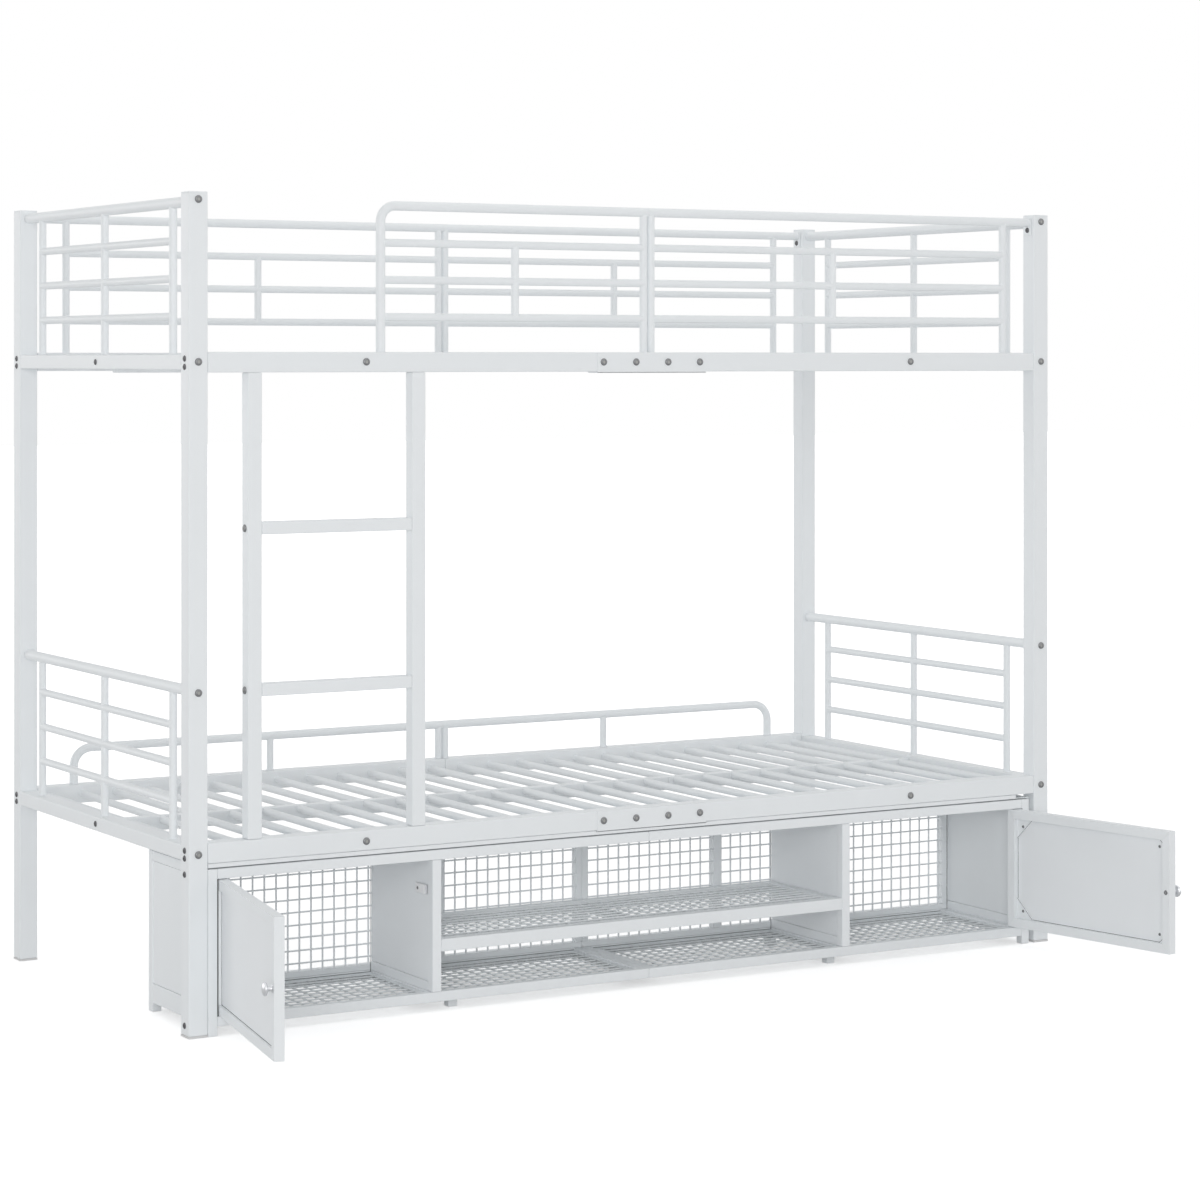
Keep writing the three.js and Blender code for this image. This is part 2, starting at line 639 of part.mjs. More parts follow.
// Doors in their own turned groups, drawn shut about the hinge axis.
const doorZ = [floorTop + doorEndGap, frameTop - doorEndGap];
const doorHalf = doorTube / 2;
for (const [end, alongX] of ends) {
  const towards = -alongX;
  const door = new THREE.Group();
  door.position.set(hingeX[end], frontY + doorHalf, 0);
  door.rotation.z = THREE.MathUtils.degToRad(alongX * doorOpenAngle);
  bed.add(door);

  const hingeEdge = -towards * doorEdgeToAxis;
  const freeEdge = towards * (doorWidth - doorEdgeToAxis);
  const faces = [-doorHalf, doorHalf];
  const stileX = [hingeEdge + towards * doorTube, freeEdge - towards * doorTube];
  const hingeStile = new THREE.ExtrudeGeometry(roundedRectangle(doorTube, doorTube, tubeCorner + fitGap), {
    depth: doorZ[1] - doorZ[0],
    bevelEnabled: false,
  }).translate(hingeEdge + towards * doorHalf, 0, doorZ[0]);
  const railX = [hingeEdge + towards * (doorTube - tubeCorner * 2), freeEdge];
  const pieces = [
    hingeStile,
    block([stileX[1], freeEdge], faces, doorZ),
    block(railX, faces, [doorZ[0], doorZ[0] + doorTube]),
    block(railX, faces, [doorZ[1] - doorTube, doorZ[1]]),
  ];
  const gussetFront = -doorHalf + doorSheetDepth + doorSheetThickness + fitGap;
  const gussetCorners = [[stileX[0], towards, hingeGussetLeg], [stileX[1], -towards, freeGussetLeg]];
  for (const [cornerX, intoX, gussetLeg] of gussetCorners) {
    for (const [cornerZ, intoZ] of [[doorZ[0] + doorTube, 1], [doorZ[1] - doorTube, -1]]) {
      const triangle = new THREE.Shape();
      triangle.moveTo(cornerX - intoX * overlap, cornerZ - intoZ * overlap);
      const along = [cornerX + intoX * gussetLeg, cornerZ - intoZ * overlap];
      const up = [cornerX - intoX * overlap, cornerZ + intoZ * gussetLeg];
      for (const point of intoX * intoZ > 0 ? [along, up] : [up, along]) triangle.lineTo(...point);
      triangle.closePath();
      const plate = new THREE.ExtrudeGeometry(triangle, { depth: gussetThickness, bevelEnabled: false });
      pieces.push(plate.rotateX(Math.PI / 2).translate(0, gussetFront + gussetThickness, 0));
    }
  }
  const boreEnds = [doorZ[0] - overlap, doorZ[1] + overlap];
  const bore = solidOf(roundBar([0, 0, boreEnds[0]], [0, 0, boreEnds[1]], rodDiameter + 2 * rodClearance));
  addPart(`door_frame_${end}`, geometryOf(fuse(pieces).subtract(bore)), whiteSteel, door);

  const sheetX = [stileX[0] + towards * fitGap, stileX[1] - towards * fitGap];
  const sheetY = [-doorHalf + doorSheetDepth, -doorHalf + doorSheetDepth + doorSheetThickness];
  const sheetZ = [doorZ[0] + doorTube + fitGap, doorZ[1] - doorTube - fitGap];
  addPart(`door_sheet_${end}`, block(sheetX, sheetY, sheetZ), whiteSteel, door);

  const knobX = freeEdge - towards * doorHalf;
  const stem = knobStemDiameter / 2;
  const cap = knobDiameter / 2;
  const profile = [
    [0, 0], [stem + knobFootFlare, 0],
    [stem, knobHeight * knobShares.foot], [stem, knobHeight * knobShares.neck],
    [cap, knobHeight * knobShares.rimLow], [cap, knobHeight * knobShares.rimHigh],
    [cap * knobShares.faceWidth, knobHeight * knobShares.face], [0, knobHeight],
  ].map(([radius, height]) => new THREE.Vector2(radius, height));
  const knob = new THREE.LatheGeometry(profile, tubeSides * 2).rotateX(Math.PI)
    .translate(knobX, -doorHalf - fitGap, (doorZ[0] + doorZ[1]) / 2);
  addPart(`door_knob_${end}`, knob, bareSteel, door);

  const rod = roundBar([hingeX[end], frontY + doorHalf, floorTop - rodSeat],
    [hingeX[end], frontY + doorHalf, frameTop + rodSeat], rodDiameter);
  addPart(`door_hinge_rod_${end}`, rod, bareSteel);
}

// The origin goes to the middle of the whole outline, on the floor, with the doors open.
const part = new THREE.Group();
part.add(bed);
part.updateMatrixWorld(true);
const outline = new THREE.Box3().setFromObject(bed, true);
bed.position.set(-(outline.min.x + outline.max.x) / 2, -(outline.min.y + outline.max.y) / 2, -outline.min.z);

export default part;
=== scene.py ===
# %% [markdown]
# # A white metal bunk bed
# This notebook dresses a bunk bed of powder-coated steel tube. The solids of the bed come in first, as a
# fixed frame, and each cell then puts a finer piece in their place or gives them a better finish. Places
# are written in millimetres, as a maker reads them, and turned into metres at one spot. What repeats is
# grown by a Geometry Nodes tree.

# %% Load the frame
import math
import bmesh
import bpy
from mathutils import Matrix, Vector


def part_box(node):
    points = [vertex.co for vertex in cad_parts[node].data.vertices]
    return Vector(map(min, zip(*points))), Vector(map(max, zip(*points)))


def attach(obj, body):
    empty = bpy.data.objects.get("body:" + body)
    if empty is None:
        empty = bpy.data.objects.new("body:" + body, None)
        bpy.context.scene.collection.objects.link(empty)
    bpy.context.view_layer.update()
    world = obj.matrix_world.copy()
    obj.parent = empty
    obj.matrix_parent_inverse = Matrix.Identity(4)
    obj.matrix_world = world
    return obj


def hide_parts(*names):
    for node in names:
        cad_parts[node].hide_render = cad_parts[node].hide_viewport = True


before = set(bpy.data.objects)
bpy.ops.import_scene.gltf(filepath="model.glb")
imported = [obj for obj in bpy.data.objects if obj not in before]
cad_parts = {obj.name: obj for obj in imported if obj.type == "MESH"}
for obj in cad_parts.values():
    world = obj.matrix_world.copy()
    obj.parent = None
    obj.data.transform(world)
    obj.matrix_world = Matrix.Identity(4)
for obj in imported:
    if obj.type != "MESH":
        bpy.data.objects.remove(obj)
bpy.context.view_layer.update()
mm = 0.001

# %% [markdown]
# ## Where things are
# The four posts fix the bed: their outer faces are its length and depth, and the middle between them is the
# point that the other places are measured from. Reading it from the frame keeps every piece on its carrier.

# %% The bed's middle
front_left, front_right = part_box("post_front_left"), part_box("post_front_right")
rear_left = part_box("post_rear_left")
middle = Vector(((front_left[0].x + front_right[1].x) / 2, (front_left[0].y + rear_left[1].y) / 2, 0))
print("bed middle in mm:", [round(value / mm, 2) for value in middle])


def at(x, y, z):
    """A point given in millimetres from the middle of the bed's floor print."""
    return middle + Vector((x, y, z)) * mm


def add_object(name, data):
    """A new object in the scene."""
    made = bpy.data.objects.new(name, data)
    bpy.context.scene.collection.objects.link(made)
    return made


# %% [markdown]
# ## Camera
# The uprights of the photo are exactly upright, so the camera is level and its frame is shifted down
# instead of tilted. A long lens from seven metres gives the mild perspective of a catalogue picture. The
# lens follows from the picture's width and its focal length in pixels, and the shift from the row of its
# horizon.

# %% Camera
picture_width, picture_height = 1200, 1193
focal_pixels, horizon_row = 3219.6, 359.12
sensor_width = 36
camera_place, camera_turn = (-3475.9, -6223.2, 1306.9), -30.28
camera_data = bpy.data.cameras.new("camera")
camera_data.sensor_width = sensor_width
camera_data.lens = sensor_width * focal_pixels / picture_width
camera_data.shift_y = -(picture_height / 2 - horizon_row) / picture_width
camera_data.clip_end = 60
camera = add_object("camera", camera_data)
camera.location = at(*camera_place)
camera.rotation_euler = (math.radians(90), 0, math.radians(camera_turn))
bpy.context.scene.camera = camera
bpy.context.scene.view_settings.view_transform = "Standard"
print("lens:", round(camera_data.lens, 2), "shift:", round(camera_data.shift_y, 4))

# %% [markdown]
# ## Finishes
# Powder coat is sprayed dust that melts into an even skin. From a hand's width it shows a fine orange peel,
# and its gloss wanders a little. A flat colour would miss both and a picture would stretch over the tubes,
# so a noise pattern makes them. One node group holds it for all finishes, and each sets its own values.

# %% Grain group
def link(tree, *pairs):
    """Links sockets, each pair given as a node, its output, a node and its input."""
    for source, output, target, into in pairs:
        tree.links.new(source.outputs[output], target.inputs[into])


def set_inputs(node, values):
    """Fixed values for inputs of a node by their name or number."""
    for name, value in values.items():
        node.inputs[name].default_value = value


def add_node(tree, kind, values=None, **settings):
    """A new node with its settings and the fixed values of its inputs."""
    node = tree.nodes.new(kind)
    for name, value in settings.items():
        setattr(node, name, value)
    set_inputs(node, values or {})
    return node


def math_node(tree, operation, second=0.5):
    """A node that works out one value from two, of which the second can be fixed."""
    return add_node(tree, "ShaderNodeMath", {1: second}, operation=operation)


grain = bpy.data.node_groups.new("coat_grain", "ShaderNodeTree")
for name, value in (("Cell size", 0.0012), ("Bump depth", 0.00003), ("Gloss", 0.42), ("Gloss wander", 0.06)):
    socket = grain.interface.new_socket(name, in_out="INPUT", socket_type="NodeSocketFloat")
    socket.default_value = value
for name, way, kind in (("Colour", "INPUT", "Color"), ("Colour", "OUTPUT", "Color"),
                        ("Roughness", "OUTPUT", "Float"), ("Normal", "OUTPUT", "Vector")):
    grain.interface.new_socket(name, in_out=way, socket_type=f"NodeSocket{kind}")

# %% Grain nodes
given = grain.nodes.new("NodeGroupInput")
result = grain.nodes.new("NodeGroupOutput")
place = grain.nodes.new("ShaderNodeTexCoord")
frequency = math_node(grain, "DIVIDE")
frequency.inputs[0].default_value = 1
peel = add_node(grain, "ShaderNodeTexNoise", {"Detail": 2})
bump = add_node(grain, "ShaderNodeBump", {"Strength": 0.5})
cloud = add_node(grain, "ShaderNodeTexNoise", {"Scale": 9, "Detail": 3})
wander = grain.nodes.new("ShaderNodeMapRange")
lowest, highest = math_node(grain, "SUBTRACT"), math_node(grain, "ADD")
shade = add_node(grain, "ShaderNodeMapRange", {"To Min": 0.975, "To Max": 1.0})
tint = add_node(grain, "ShaderNodeVectorMath", operation="SCALE")
link(grain, (given, "Cell size", frequency, 1), (place, "Object", peel, "Vector"),
     (frequency, 0, peel, "Scale"), (peel, 0, bump, "Height"), (given, "Bump depth", bump, "Distance"),
     (place, "Object", cloud, "Vector"))
for node, end in ((lowest, "To Min"), (highest, "To Max")):
    link(grain, (given, "Gloss", node, 0), (given, "Gloss wander", node, 1), (node, 0, wander, end))
link(grain, (cloud, 0, wander, "Value"), (cloud, 0, shade, "Value"), (given, "Colour", tint, 0),
     (shade, 0, tint, "Scale"), (tint, 0, result, "Colour"), (wander, 0, result, "Roughness"),
     (bump, 0, result, "Normal"))
print("grain group nodes:", len(grain.nodes))


# %% Coated finishes
def coated(name, colour, gloss, wander=0.05, cell=0.0005, metallic=0.0):
    """A finish whose colour, gloss and bump pass through the grain group."""
    material = bpy.data.materials.new(name)
    material.use_nodes = True
    tree = material.node_tree
    shader = tree.nodes["Principled BSDF"]
    group = tree.nodes.new("ShaderNodeGroup")
    group.node_tree = grain
    set_inputs(group, {"Colour": (*colour, 1), "Gloss": gloss, "Gloss wander": wander, "Cell size": cell})
    link(tree, (group, "Colour", shader, "Base Color"), (group, "Roughness", shader, "Roughness"),
         (group, "Normal", shader, "Normal"))
    shader.inputs["Metallic"].default_value = metallic
    return material


white_coat = coated("white_powder_coat", (0.897, 0.925, 0.943), 0.45, cell=0.0012)
# The sheet coat is the bed's white, made a little paler than the tubes' so that the shaded sheets inside the
# cabinet read lighter: own colour with some painted light.
sheet_coat_painted_light = coated("white_sheet_coat_painted_light", (0.905, 0.93, 0.95), 0.5, cell=0.002)
glide_plastic = coated("glide_plastic", (0.74, 0.74, 0.74), 0.55, cell=0.0008)
catch_plastic = coated("catch_plastic", (0.93, 0.93, 0.94), 0.4, cell=0.0008)
bolt_steel = coated("zinc_bolt_steel", (0.25, 0.255, 0.26), 0.4, metallic=0.85)
socket_steel = coated("pressed_socket_steel", (0.42, 0.42, 0.41), 0.5, metallic=0.85)
screw_steel = coated("dark_screw_steel", (0.13, 0.13, 0.135), 0.45, metallic=0.7)
plate_steel = coated("plain_plate_steel", (0.45, 0.45, 0.46), 0.4, metallic=0.85)
# A near-black finish for thin strips: painted shade of grooves and gaps between parts.
painted_gap_shade = coated("painted_gap_shade_strip", (0.09, 0.095, 0.1), 0.8)
knob_steel = coated("bright_knob_steel", (0.7, 0.71, 0.73), 0.36, wander=0.03, metallic=1.0, cell=0.0004)
print("finishes:", [material.name for material in bpy.data.materials])


# %% [markdown]
# ## Making pieces
# A welded part of the bed is one piece, so its tubes, bars and nets go into one mesh. Drawn tube has
# rounded corners that catch the light. Each bar is a box with bevelled edges, which is lighter than a swept
# outline, and its normals are weighted by face area, so that the flats stay flat and only the corners shade
# round.

# %% Mesh helpers
crease, swings = math.radians(50), {}
print("crease in degrees:", round(math.degrees(crease)))


def span(centre, half):
    """The two values that lie half a width from a centre."""
    return centre - half, centre + half


def bar(bm, x, y, z, radius=1.6):
    """A square tube's outside as a box with rounded edges, between two values in mm on each axis."""
    low, high = at(min(x), min(y), min(z)), at(max(x), max(y), max(z))
    made = bmesh.ops.create_cube(bm, size=1)["verts"]
    for vert in made:
        vert.co = Vector([low[k] + (vert.co[k] + 0.5) * (high[k] - low[k]) for k in range(3)])
    if radius:
        edges = dict.fromkeys(edge for vert in made for edge in vert.link_edges)
        bmesh.ops.bevel(bm, geom=list(edges), offset=radius * mm, segments=3, profile=0.5, affect="EDGES")


def take(bm, mesh):
    """Adds a finished mesh to the one in the making."""
    bm.from_mesh(mesh)
    bpy.data.meshes.remove(mesh)


def solid(bm, corners, faces):
    """A prism between two values of Y in mm, over an outline of (x, z) corners. Gives back its faces."""
    around = len(corners)
    verts = [bm.verts.new(at(x, y, z)) for y in faces for x, z in corners]
    made = [bm.faces.new(verts[:around]), bm.faces.new(verts[:around - 1:-1])]
    for here in range(around):
        after = (here + 1) % around
        made.append(bm.faces.new((verts[after], verts[here], verts[here + around], verts[after + around])))
    bmesh.ops.recalc_face_normals(bm, faces=made)
    return made


def mesh_object(name, bm, materials):
    """An object that holds the mesh in the making, with its materials."""
    mesh = bpy.data.meshes.new(name)
    bm.to_mesh(mesh)
    bm.free()
    for material in materials:
        mesh.materials.append(material)
    return add_object(name, mesh)


def piece(name, bm, nodes=(), materials=(white_coat,), body="bed"):
    """Makes the mesh a piece with weighted normals. A door's piece swings open first."""
    bm.transform(swings.get(body, Matrix()))
    for edge in bm.edges:
        edge.smooth = len(edge.link_faces) == 2 and edge.calc_face_angle(4) < crease
    for face in bm.faces:
        face.smooth = True
    made = mesh_object(name, bm, materials)
    mesh = made.data
    weigh = made.modifiers.new("weigh", "WEIGHTED_NORMAL")
    weigh.keep_sharp = True
    weigh.weight = 90
    plain = bpy.data.meshes.new_from_object(made.evaluated_get(bpy.context.evaluated_depsgraph_get()))
    made.modifiers.clear()
    made.data = plain
    bpy.data.meshes.remove(mesh)
    plain.name = name
    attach(made, body)
    if nodes:
        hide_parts(*nodes)


# %% [markdown]
# ## Growing what repeats
# Geometry Nodes make the round bars, the slats, the nets and the bolts, which a maker cuts by the dozen to
# one size. A tree keeps that size in one named input, where loops of copied meshes would hide it.

# %% Run a tree
def new_tree(name, **sockets):
    """An empty Geometry Nodes tree. The names of its inputs are given by kind."""
    tree = bpy.data.node_groups.new(name, "GeometryNodeTree")
    tree.interface.new_socket("Geometry", in_out="INPUT", socket_type="NodeSocketGeometry")
    for kind, labels in sockets.items():
        for label in labels:
            tree.interface.new_socket(label, in_out="INPUT", socket_type=f"NodeSocket{kind}")
    tree.interface.new_socket("Geometry", in_out="OUTPUT", socket_type="NodeSocketGeometry")
    return tree, tree.nodes.new("NodeGroupInput"), tree.nodes.new("NodeGroupOutput")


def close_tree(tree, source, given, end):
    """Realizes the instances, sets the material and joins the tree to its output."""
    realize = tree.nodes.new("GeometryNodeRealizeInstances")
    paint = tree.nodes.new("GeometryNodeSetMaterial")
    link(tree, (source, 0, realize, 0), (realize, 0, paint, "Geometry"),
         (given, "Material", paint, "Material"), (paint, 0, end, 0))


def grow(tree, base=None, **sizes):
    """The plain mesh that a tree makes of a base mesh or curve with the given sizes."""
    holder = add_object("holder", base or bpy.data.meshes.new("start"))
    modifier = holder.modifiers.new("grow", "NODES")
    modifier.node_group = tree
    for item in tree.interface.items_tree:
        if item.in_out == "INPUT" and item.name in sizes:
            modifier[item.identifier] = sizes[item.name]
    grown = bpy.data.meshes.new_from_object(holder.evaluated_get(bpy.context.evaluated_depsgraph_get()))
    bpy.data.objects.remove(holder)
    return grown


# %% Round bars along a path
round_sides = 24
bars_tree, given, end = new_tree("round_bars", Float=["Diameter"], Material=["Material"])
half = math_node(bars_tree, "MULTIPLY")
ring = add_node(bars_tree, "GeometryNodeCurvePrimitiveCircle", {"Resolution": round_sides})
sweep = add_node(bars_tree, "GeometryNodeCurveToMesh", {"Fill Caps": True})
link(bars_tree, (given, "Diameter", half, 0), (half, 0, ring, "Radius"),
     (given, "Geometry", sweep, "Curve"), (ring, "Curve", sweep, "Profile Curve"))
close_tree(bars_tree, sweep, given, end)


def round_bars(bm, paths, diameter):
    """Round tubes along open paths of points in mm from the bed's middle."""
    curve = bpy.data.curves.new("paths", "CURVE")
    curve.dimensions = "3D"
    for path in paths:
        spline = curve.splines.new("POLY")
        spline.points.add(len(path) - 1)
        for point, place in zip(spline.points, path):
            point.co = (*at(*place), 1)
    take(bm, grow(bars_tree, curve, Diameter=diameter * mm, Material=white_coat))


print("bar nodes:", len(bars_tree.nodes))

# %% Slats along a rail
slat_tree, given, end = new_tree(
    "slat_row", Int=["Count"], Float=["Pitch", "Length", "Diameter"], Material=["Material"])
tree = slat_tree
step = tree.nodes.new("ShaderNodeCombineXYZ")
row = tree.nodes.new("GeometryNodeMeshLine")
slat = add_node(tree, "GeometryNodeMeshCylinder", {"Vertices": round_sides})
half = math_node(tree, "MULTIPLY")
lay = add_node(tree, "GeometryNodeTransform", {"Rotation": (math.radians(90), 0, 0)})
spread = tree.nodes.new("GeometryNodeInstanceOnPoints")
link(tree, (given, "Pitch", step, "X"), (step, 0, row, "Offset"), (given, "Count", row, "Count"),
     (given, "Diameter", half, 0), (half, 0, slat, "Radius"), (given, "Length", slat, "Depth"),
     (slat, "Mesh", lay, "Geometry"), (row, 0, spread, "Points"), (lay, 0, spread, "Instance"))
close_tree(tree, spread, given, end)
print("slat nodes:", len(slat_tree.nodes))

# %% [markdown]
# ## Wire nets
# The cabinet's nets are level and upright wires, welded where they cross. The tree draws one wire each way
# and sets it on a line of points. A start for the first wire and one pitch place them all, so a net can be
# cut anywhere. The rows lie in front of the columns by half of both wires, less what the weld takes.

# %% Net tree
net_pitch, column_wire, row_wire = 26.2, 4, 3.6
weld_share, wire_sides = 0.47, 10
net_tree, given, end = new_tree(
    "wire_net", Int=["Columns", "Rows"], Material=["Material"],
    Float=["Width", "Height", "Pitch", "Column start", "Row start", "Column wire", "Row wire"])
tree = net_tree
both = tree.nodes.new("GeometryNodeJoinGeometry")
pair, layer = math_node(tree, "ADD"), math_node(tree, "MULTIPLY", weld_share)
link(tree, (given, "Column wire", pair, 0), (given, "Row wire", pair, 1), (pair, 0, layer, 0))
for kind, across, run, cross, lean in (("Column", "Height", "X", "Y", (math.radians(90), 0, 0)),
                                       ("Row", "Width", "Y", "X", (0, math.radians(90), 0))):
    first = tree.nodes.new("ShaderNodeCombineXYZ")
    step = tree.nodes.new("ShaderNodeCombineXYZ")
    line = tree.nodes.new("GeometryNodeMeshLine")
    radius, centre = [math_node(tree, "MULTIPLY") for _ in range(2)]
    wire = add_node(tree, "GeometryNodeMeshCylinder", {"Vertices": wire_sides})
    offset = tree.nodes.new("ShaderNodeCombineXYZ")
    lay = add_node(tree, "GeometryNodeTransform", {"Rotation": lean})
    spread = tree.nodes.new("GeometryNodeInstanceOnPoints")
    link(tree, (given, f"{kind} start", first, run), (given, "Pitch", step, run),
         (given, f"{kind}s", line, "Count"), (first, 0, line, "Start Location"), (step, 0, line, "Offset"),
         (given, f"{kind} wire", radius, 0), (radius, 0, wire, "Radius"), (given, across, wire, "Depth"),
         (given, across, centre, 0), (centre, 0, offset, cross))
    if kind == "Row":
        link(tree, (layer, 0, offset, "Z"))
    link(tree, (wire, "Mesh", lay, "Geometry"), (offset, 0, lay, "Translation"),
         (line, 0, spread, "Points"), (lay, 0, spread, "Instance"), (spread, 0, both, 0))
close_tree(tree, both, given, end)
print("net nodes:", len(net_tree.nodes))


# %% Nets
def net(bm, x, across, depth, upright, column_at, row_at):
    """A net over two spans in mm. One of its columns and one row are placed, and the rest follow."""
    sizes, starts, counts = [], [], []
    for limits, place in ((x, column_at), (across, row_at)):
        size = abs(limits[1] - limits[0])
        start = (place - min(limits)) % net_pitch
        sizes.append(size)
        starts.append(start)
        counts.append(int((size - start) // net_pitch) + 1)
    wires = {"Pitch": net_pitch * mm, "Column wire": column_wire * mm, "Row wire": row_wire * mm,
             "Width": sizes[0] * mm, "Height": sizes[1] * mm, "Columns": counts[0], "Rows": counts[1],
             "Column start": starts[0] * mm, "Row start": starts[1] * mm, "Material": white_coat}
    grown = grow(net_tree, **wires)
    turn = Matrix.Rotation(math.radians(90), 4, "X") if upright else Matrix()
    corner = (min(x), depth, min(across)) if upright else (min(x), min(across), depth)
    grown.transform(Matrix.Translation(at(*corner)) @ turn)
    take(bm, grown)


# %% Bolts on points
bolt_tree, given, end = new_tree("bolts", Object=["Head"], Material=["Material", "Socket finish"])
tree = bolt_tree
facing = add_node(tree, "GeometryNodeInputNamedAttribute", {"Name": "facing"}, data_type="FLOAT_VECTOR")
turn = add_node(tree, "FunctionNodeAlignRotationToVector", axis="Z")
pattern = tree.nodes.new("GeometryNodeObjectInfo")
spread = tree.nodes.new("GeometryNodeInstanceOnPoints")
link(tree, (given, "Head", pattern, "Object"), (facing, "Attribute", turn, "Vector"),
     (given, "Geometry", spread, "Points"), (pattern, "Geometry", spread, "Instance"),
     (turn, 0, spread, "Rotation"))

# %% Finishes of the heads
number = tree.nodes.new("GeometryNodeInputMaterialIndex")
pressed = add_node(tree, "FunctionNodeCompare", {3: 1}, data_type="INT", operation="EQUAL")
raised = add_node(tree, "FunctionNodeBooleanMath", operation="NOT")
realize = tree.nodes.new("GeometryNodeRealizeInstances")
rim, socket_floor = [tree.nodes.new("GeometryNodeSetMaterial") for _ in range(2)]
link(tree, (number, 0, pressed, 2), (pressed, 0, raised, 0), (spread, 0, realize, 0),
     (realize, 0, socket_floor, "Geometry"), (pressed, 0, socket_floor, "Selection"),
     (given, "Socket finish", socket_floor, "Material"), (socket_floor, 0, rim, "Geometry"),
     (raised, 0, rim, "Selection"), (given, "Material", rim, "Material"), (rim, 0, end, 0))
print("trees:", [tree.name for tree in bpy.data.node_groups])

# %% [markdown]
# ## Posts, rails and decks
# Each deck rests on four combs: half a side rail with thirteen round slats welded along it. The slats'
# inner ends lie on a small centre rail, and the rails are as deep as the posts and butt against them. The
# bed repeats itself left to right and front to rear, so each part is drawn once and a sign on X or Y turns
# it over.

# %% Sizes of the bed
decks = {"lower": 354, "upper": 1301}
sides = {"front": -1, "rear": 1}
ends = {"left": -1, "right": 1}
bed_corners = [(side, y_way, hand, x_way) for side, y_way in sides.items()
               for hand, x_way in ends.items()]
half_length, half_width, post_size = 1040, 485, 40
half_post = post_size / 2
post_x, post_y = half_length - half_post, half_width - half_post
glide_top, post_top, cap_height, cap_inset = 4, 1630, 2, 0.4
fit, half_seam, tube_corner = 0.3, 0.2, 2.6
rail_end = half_length - post_size - fit
slat_count, slat_pitch, slat_diameter, slat_start, slat_sunk = 13, 78, 16, 10.3, 1
print("posts at X", post_x, "and Y", post_y, "mm, decks at", decks)

# %% Posts
for side, y_way, hand, x_way in bed_corners:
    bm = bmesh.new()
    x, y, cap = x_way * post_x, y_way * post_y, half_post - cap_inset
    shaft_top = post_top - cap_height
    bar(bm, span(x, half_post), span(y, half_post), (glide_top, shaft_top), tube_corner)
    bar(bm, span(x, cap), span(y, cap), (shaft_top - 1, post_top), 1.2)
    piece(f"post_{side}_{hand}_tube", bm, [f"post_{side}_{hand}"])
print("posts:", len(bed_corners))

# %% Side rails with their slats
slat_length = half_width - post_size - slat_start + slat_sunk
for level, centre in decks.items():
    for side, y_way, hand, x_way in bed_corners:
        bm = bmesh.new()
        rail_y = (y_way * half_width, y_way * (half_width - post_size))
        bar(bm, (x_way * half_seam, x_way * rail_end), rail_y, span(centre, half_post), tube_corner)
        slats = grow(slat_tree, Count=slat_count, Pitch=x_way * slat_pitch * mm, Length=slat_length * mm,
                     Diameter=slat_diameter * mm, Material=white_coat)
        first = at(x_way * slat_pitch / 2, y_way * (slat_start + slat_length / 2), centre)
        slats.transform(Matrix.Translation(first))
        take(bm, slats)
        piece(f"{level}_{side}_comb_{hand}", bm, [f"{level}_{side}_rail_{hand}"])
print("slat length in mm:", round(slat_length, 1))

# %% Centre rails
centre_joint, centre_half, centre_below, centre_above = 333, 10, 22, 8
centre_runs = {"left": (-rail_end, centre_joint - half_seam), "right": (centre_joint + half_seam, rail_end)}
for level, centre in decks.items():
    for hand, run in centre_runs.items():
        bm = bmesh.new()
        bar(bm, run, (-centre_half, centre_half), (centre - centre_below, centre + centre_above), 2)
        piece(f"{level}_centre_bar_{hand}", bm, [f"{level}_centre_rail_{hand}"])

# %% [markdown]
# ## End panels and guards
# Round tubes are swept along their centre lines, so a tube needs only its points and its diameter. A bent
# corner is a quarter circle of points, as a tube bender leaves it, and the thin bars butt against the
# uprights.

# %% Quarter bends
def bent(start, corner, finish, radius, steps=10):
    """Points of a path from start to finish whose corner is rounded."""
    start, corner, finish = Vector(start), Vector(corner), Vector(finish)
    back, ahead = (start - corner).normalized(), (finish - corner).normalized()
    centre = corner + (back + ahead) * radius
    arc = []
    for index in range(steps + 1):
        angle = math.pi / 2 * index / steps
        arc.append(centre - ahead * radius * math.cos(angle) - back * radius * math.sin(angle))
    return [tuple(point) for point in (start, *arc, finish)]


top_tube, guard_tube, thin_bar, bar_pitch, bar_rows = 22, 19, 16, 74, (1, 2, 3)
print("bend points:", len(bent((0, 0, 0), (1, 0, 0), (1, 0, -1), 0.2)))

# %% End panels
panel_rise, panel_bar_y, end_rail_half = 311, 360, 15
for level, centre in decks.items():
    for hand, x_way in ends.items():
        bm = bmesh.new()
        x, reach, tube = x_way * post_x, half_width - post_size - fit, centre + panel_rise
        bar(bm, (x_way * half_length, x_way * (half_length - post_size)), (-reach, reach),
            span(centre, end_rail_half), tube_corner)
        round_bars(bm, [[(x, -reach, tube), (x, reach, tube)]], top_tube)
        uprights = [[(x, y, z) for z in (centre + end_rail_half - 1, tube)]
                    for y in (-panel_bar_y, 0, panel_bar_y)]
        rungs = [[(x, y, tube - bar_pitch * k) for y in span(0, panel_bar_y)] for k in bar_rows]
        round_bars(bm, uprights + rungs, thin_bar)
        piece(f"{level}_end_frame_{hand}", bm, [f"{level}_end_panel_{hand}"])
print("end panels:", len(decks) * len(ends))

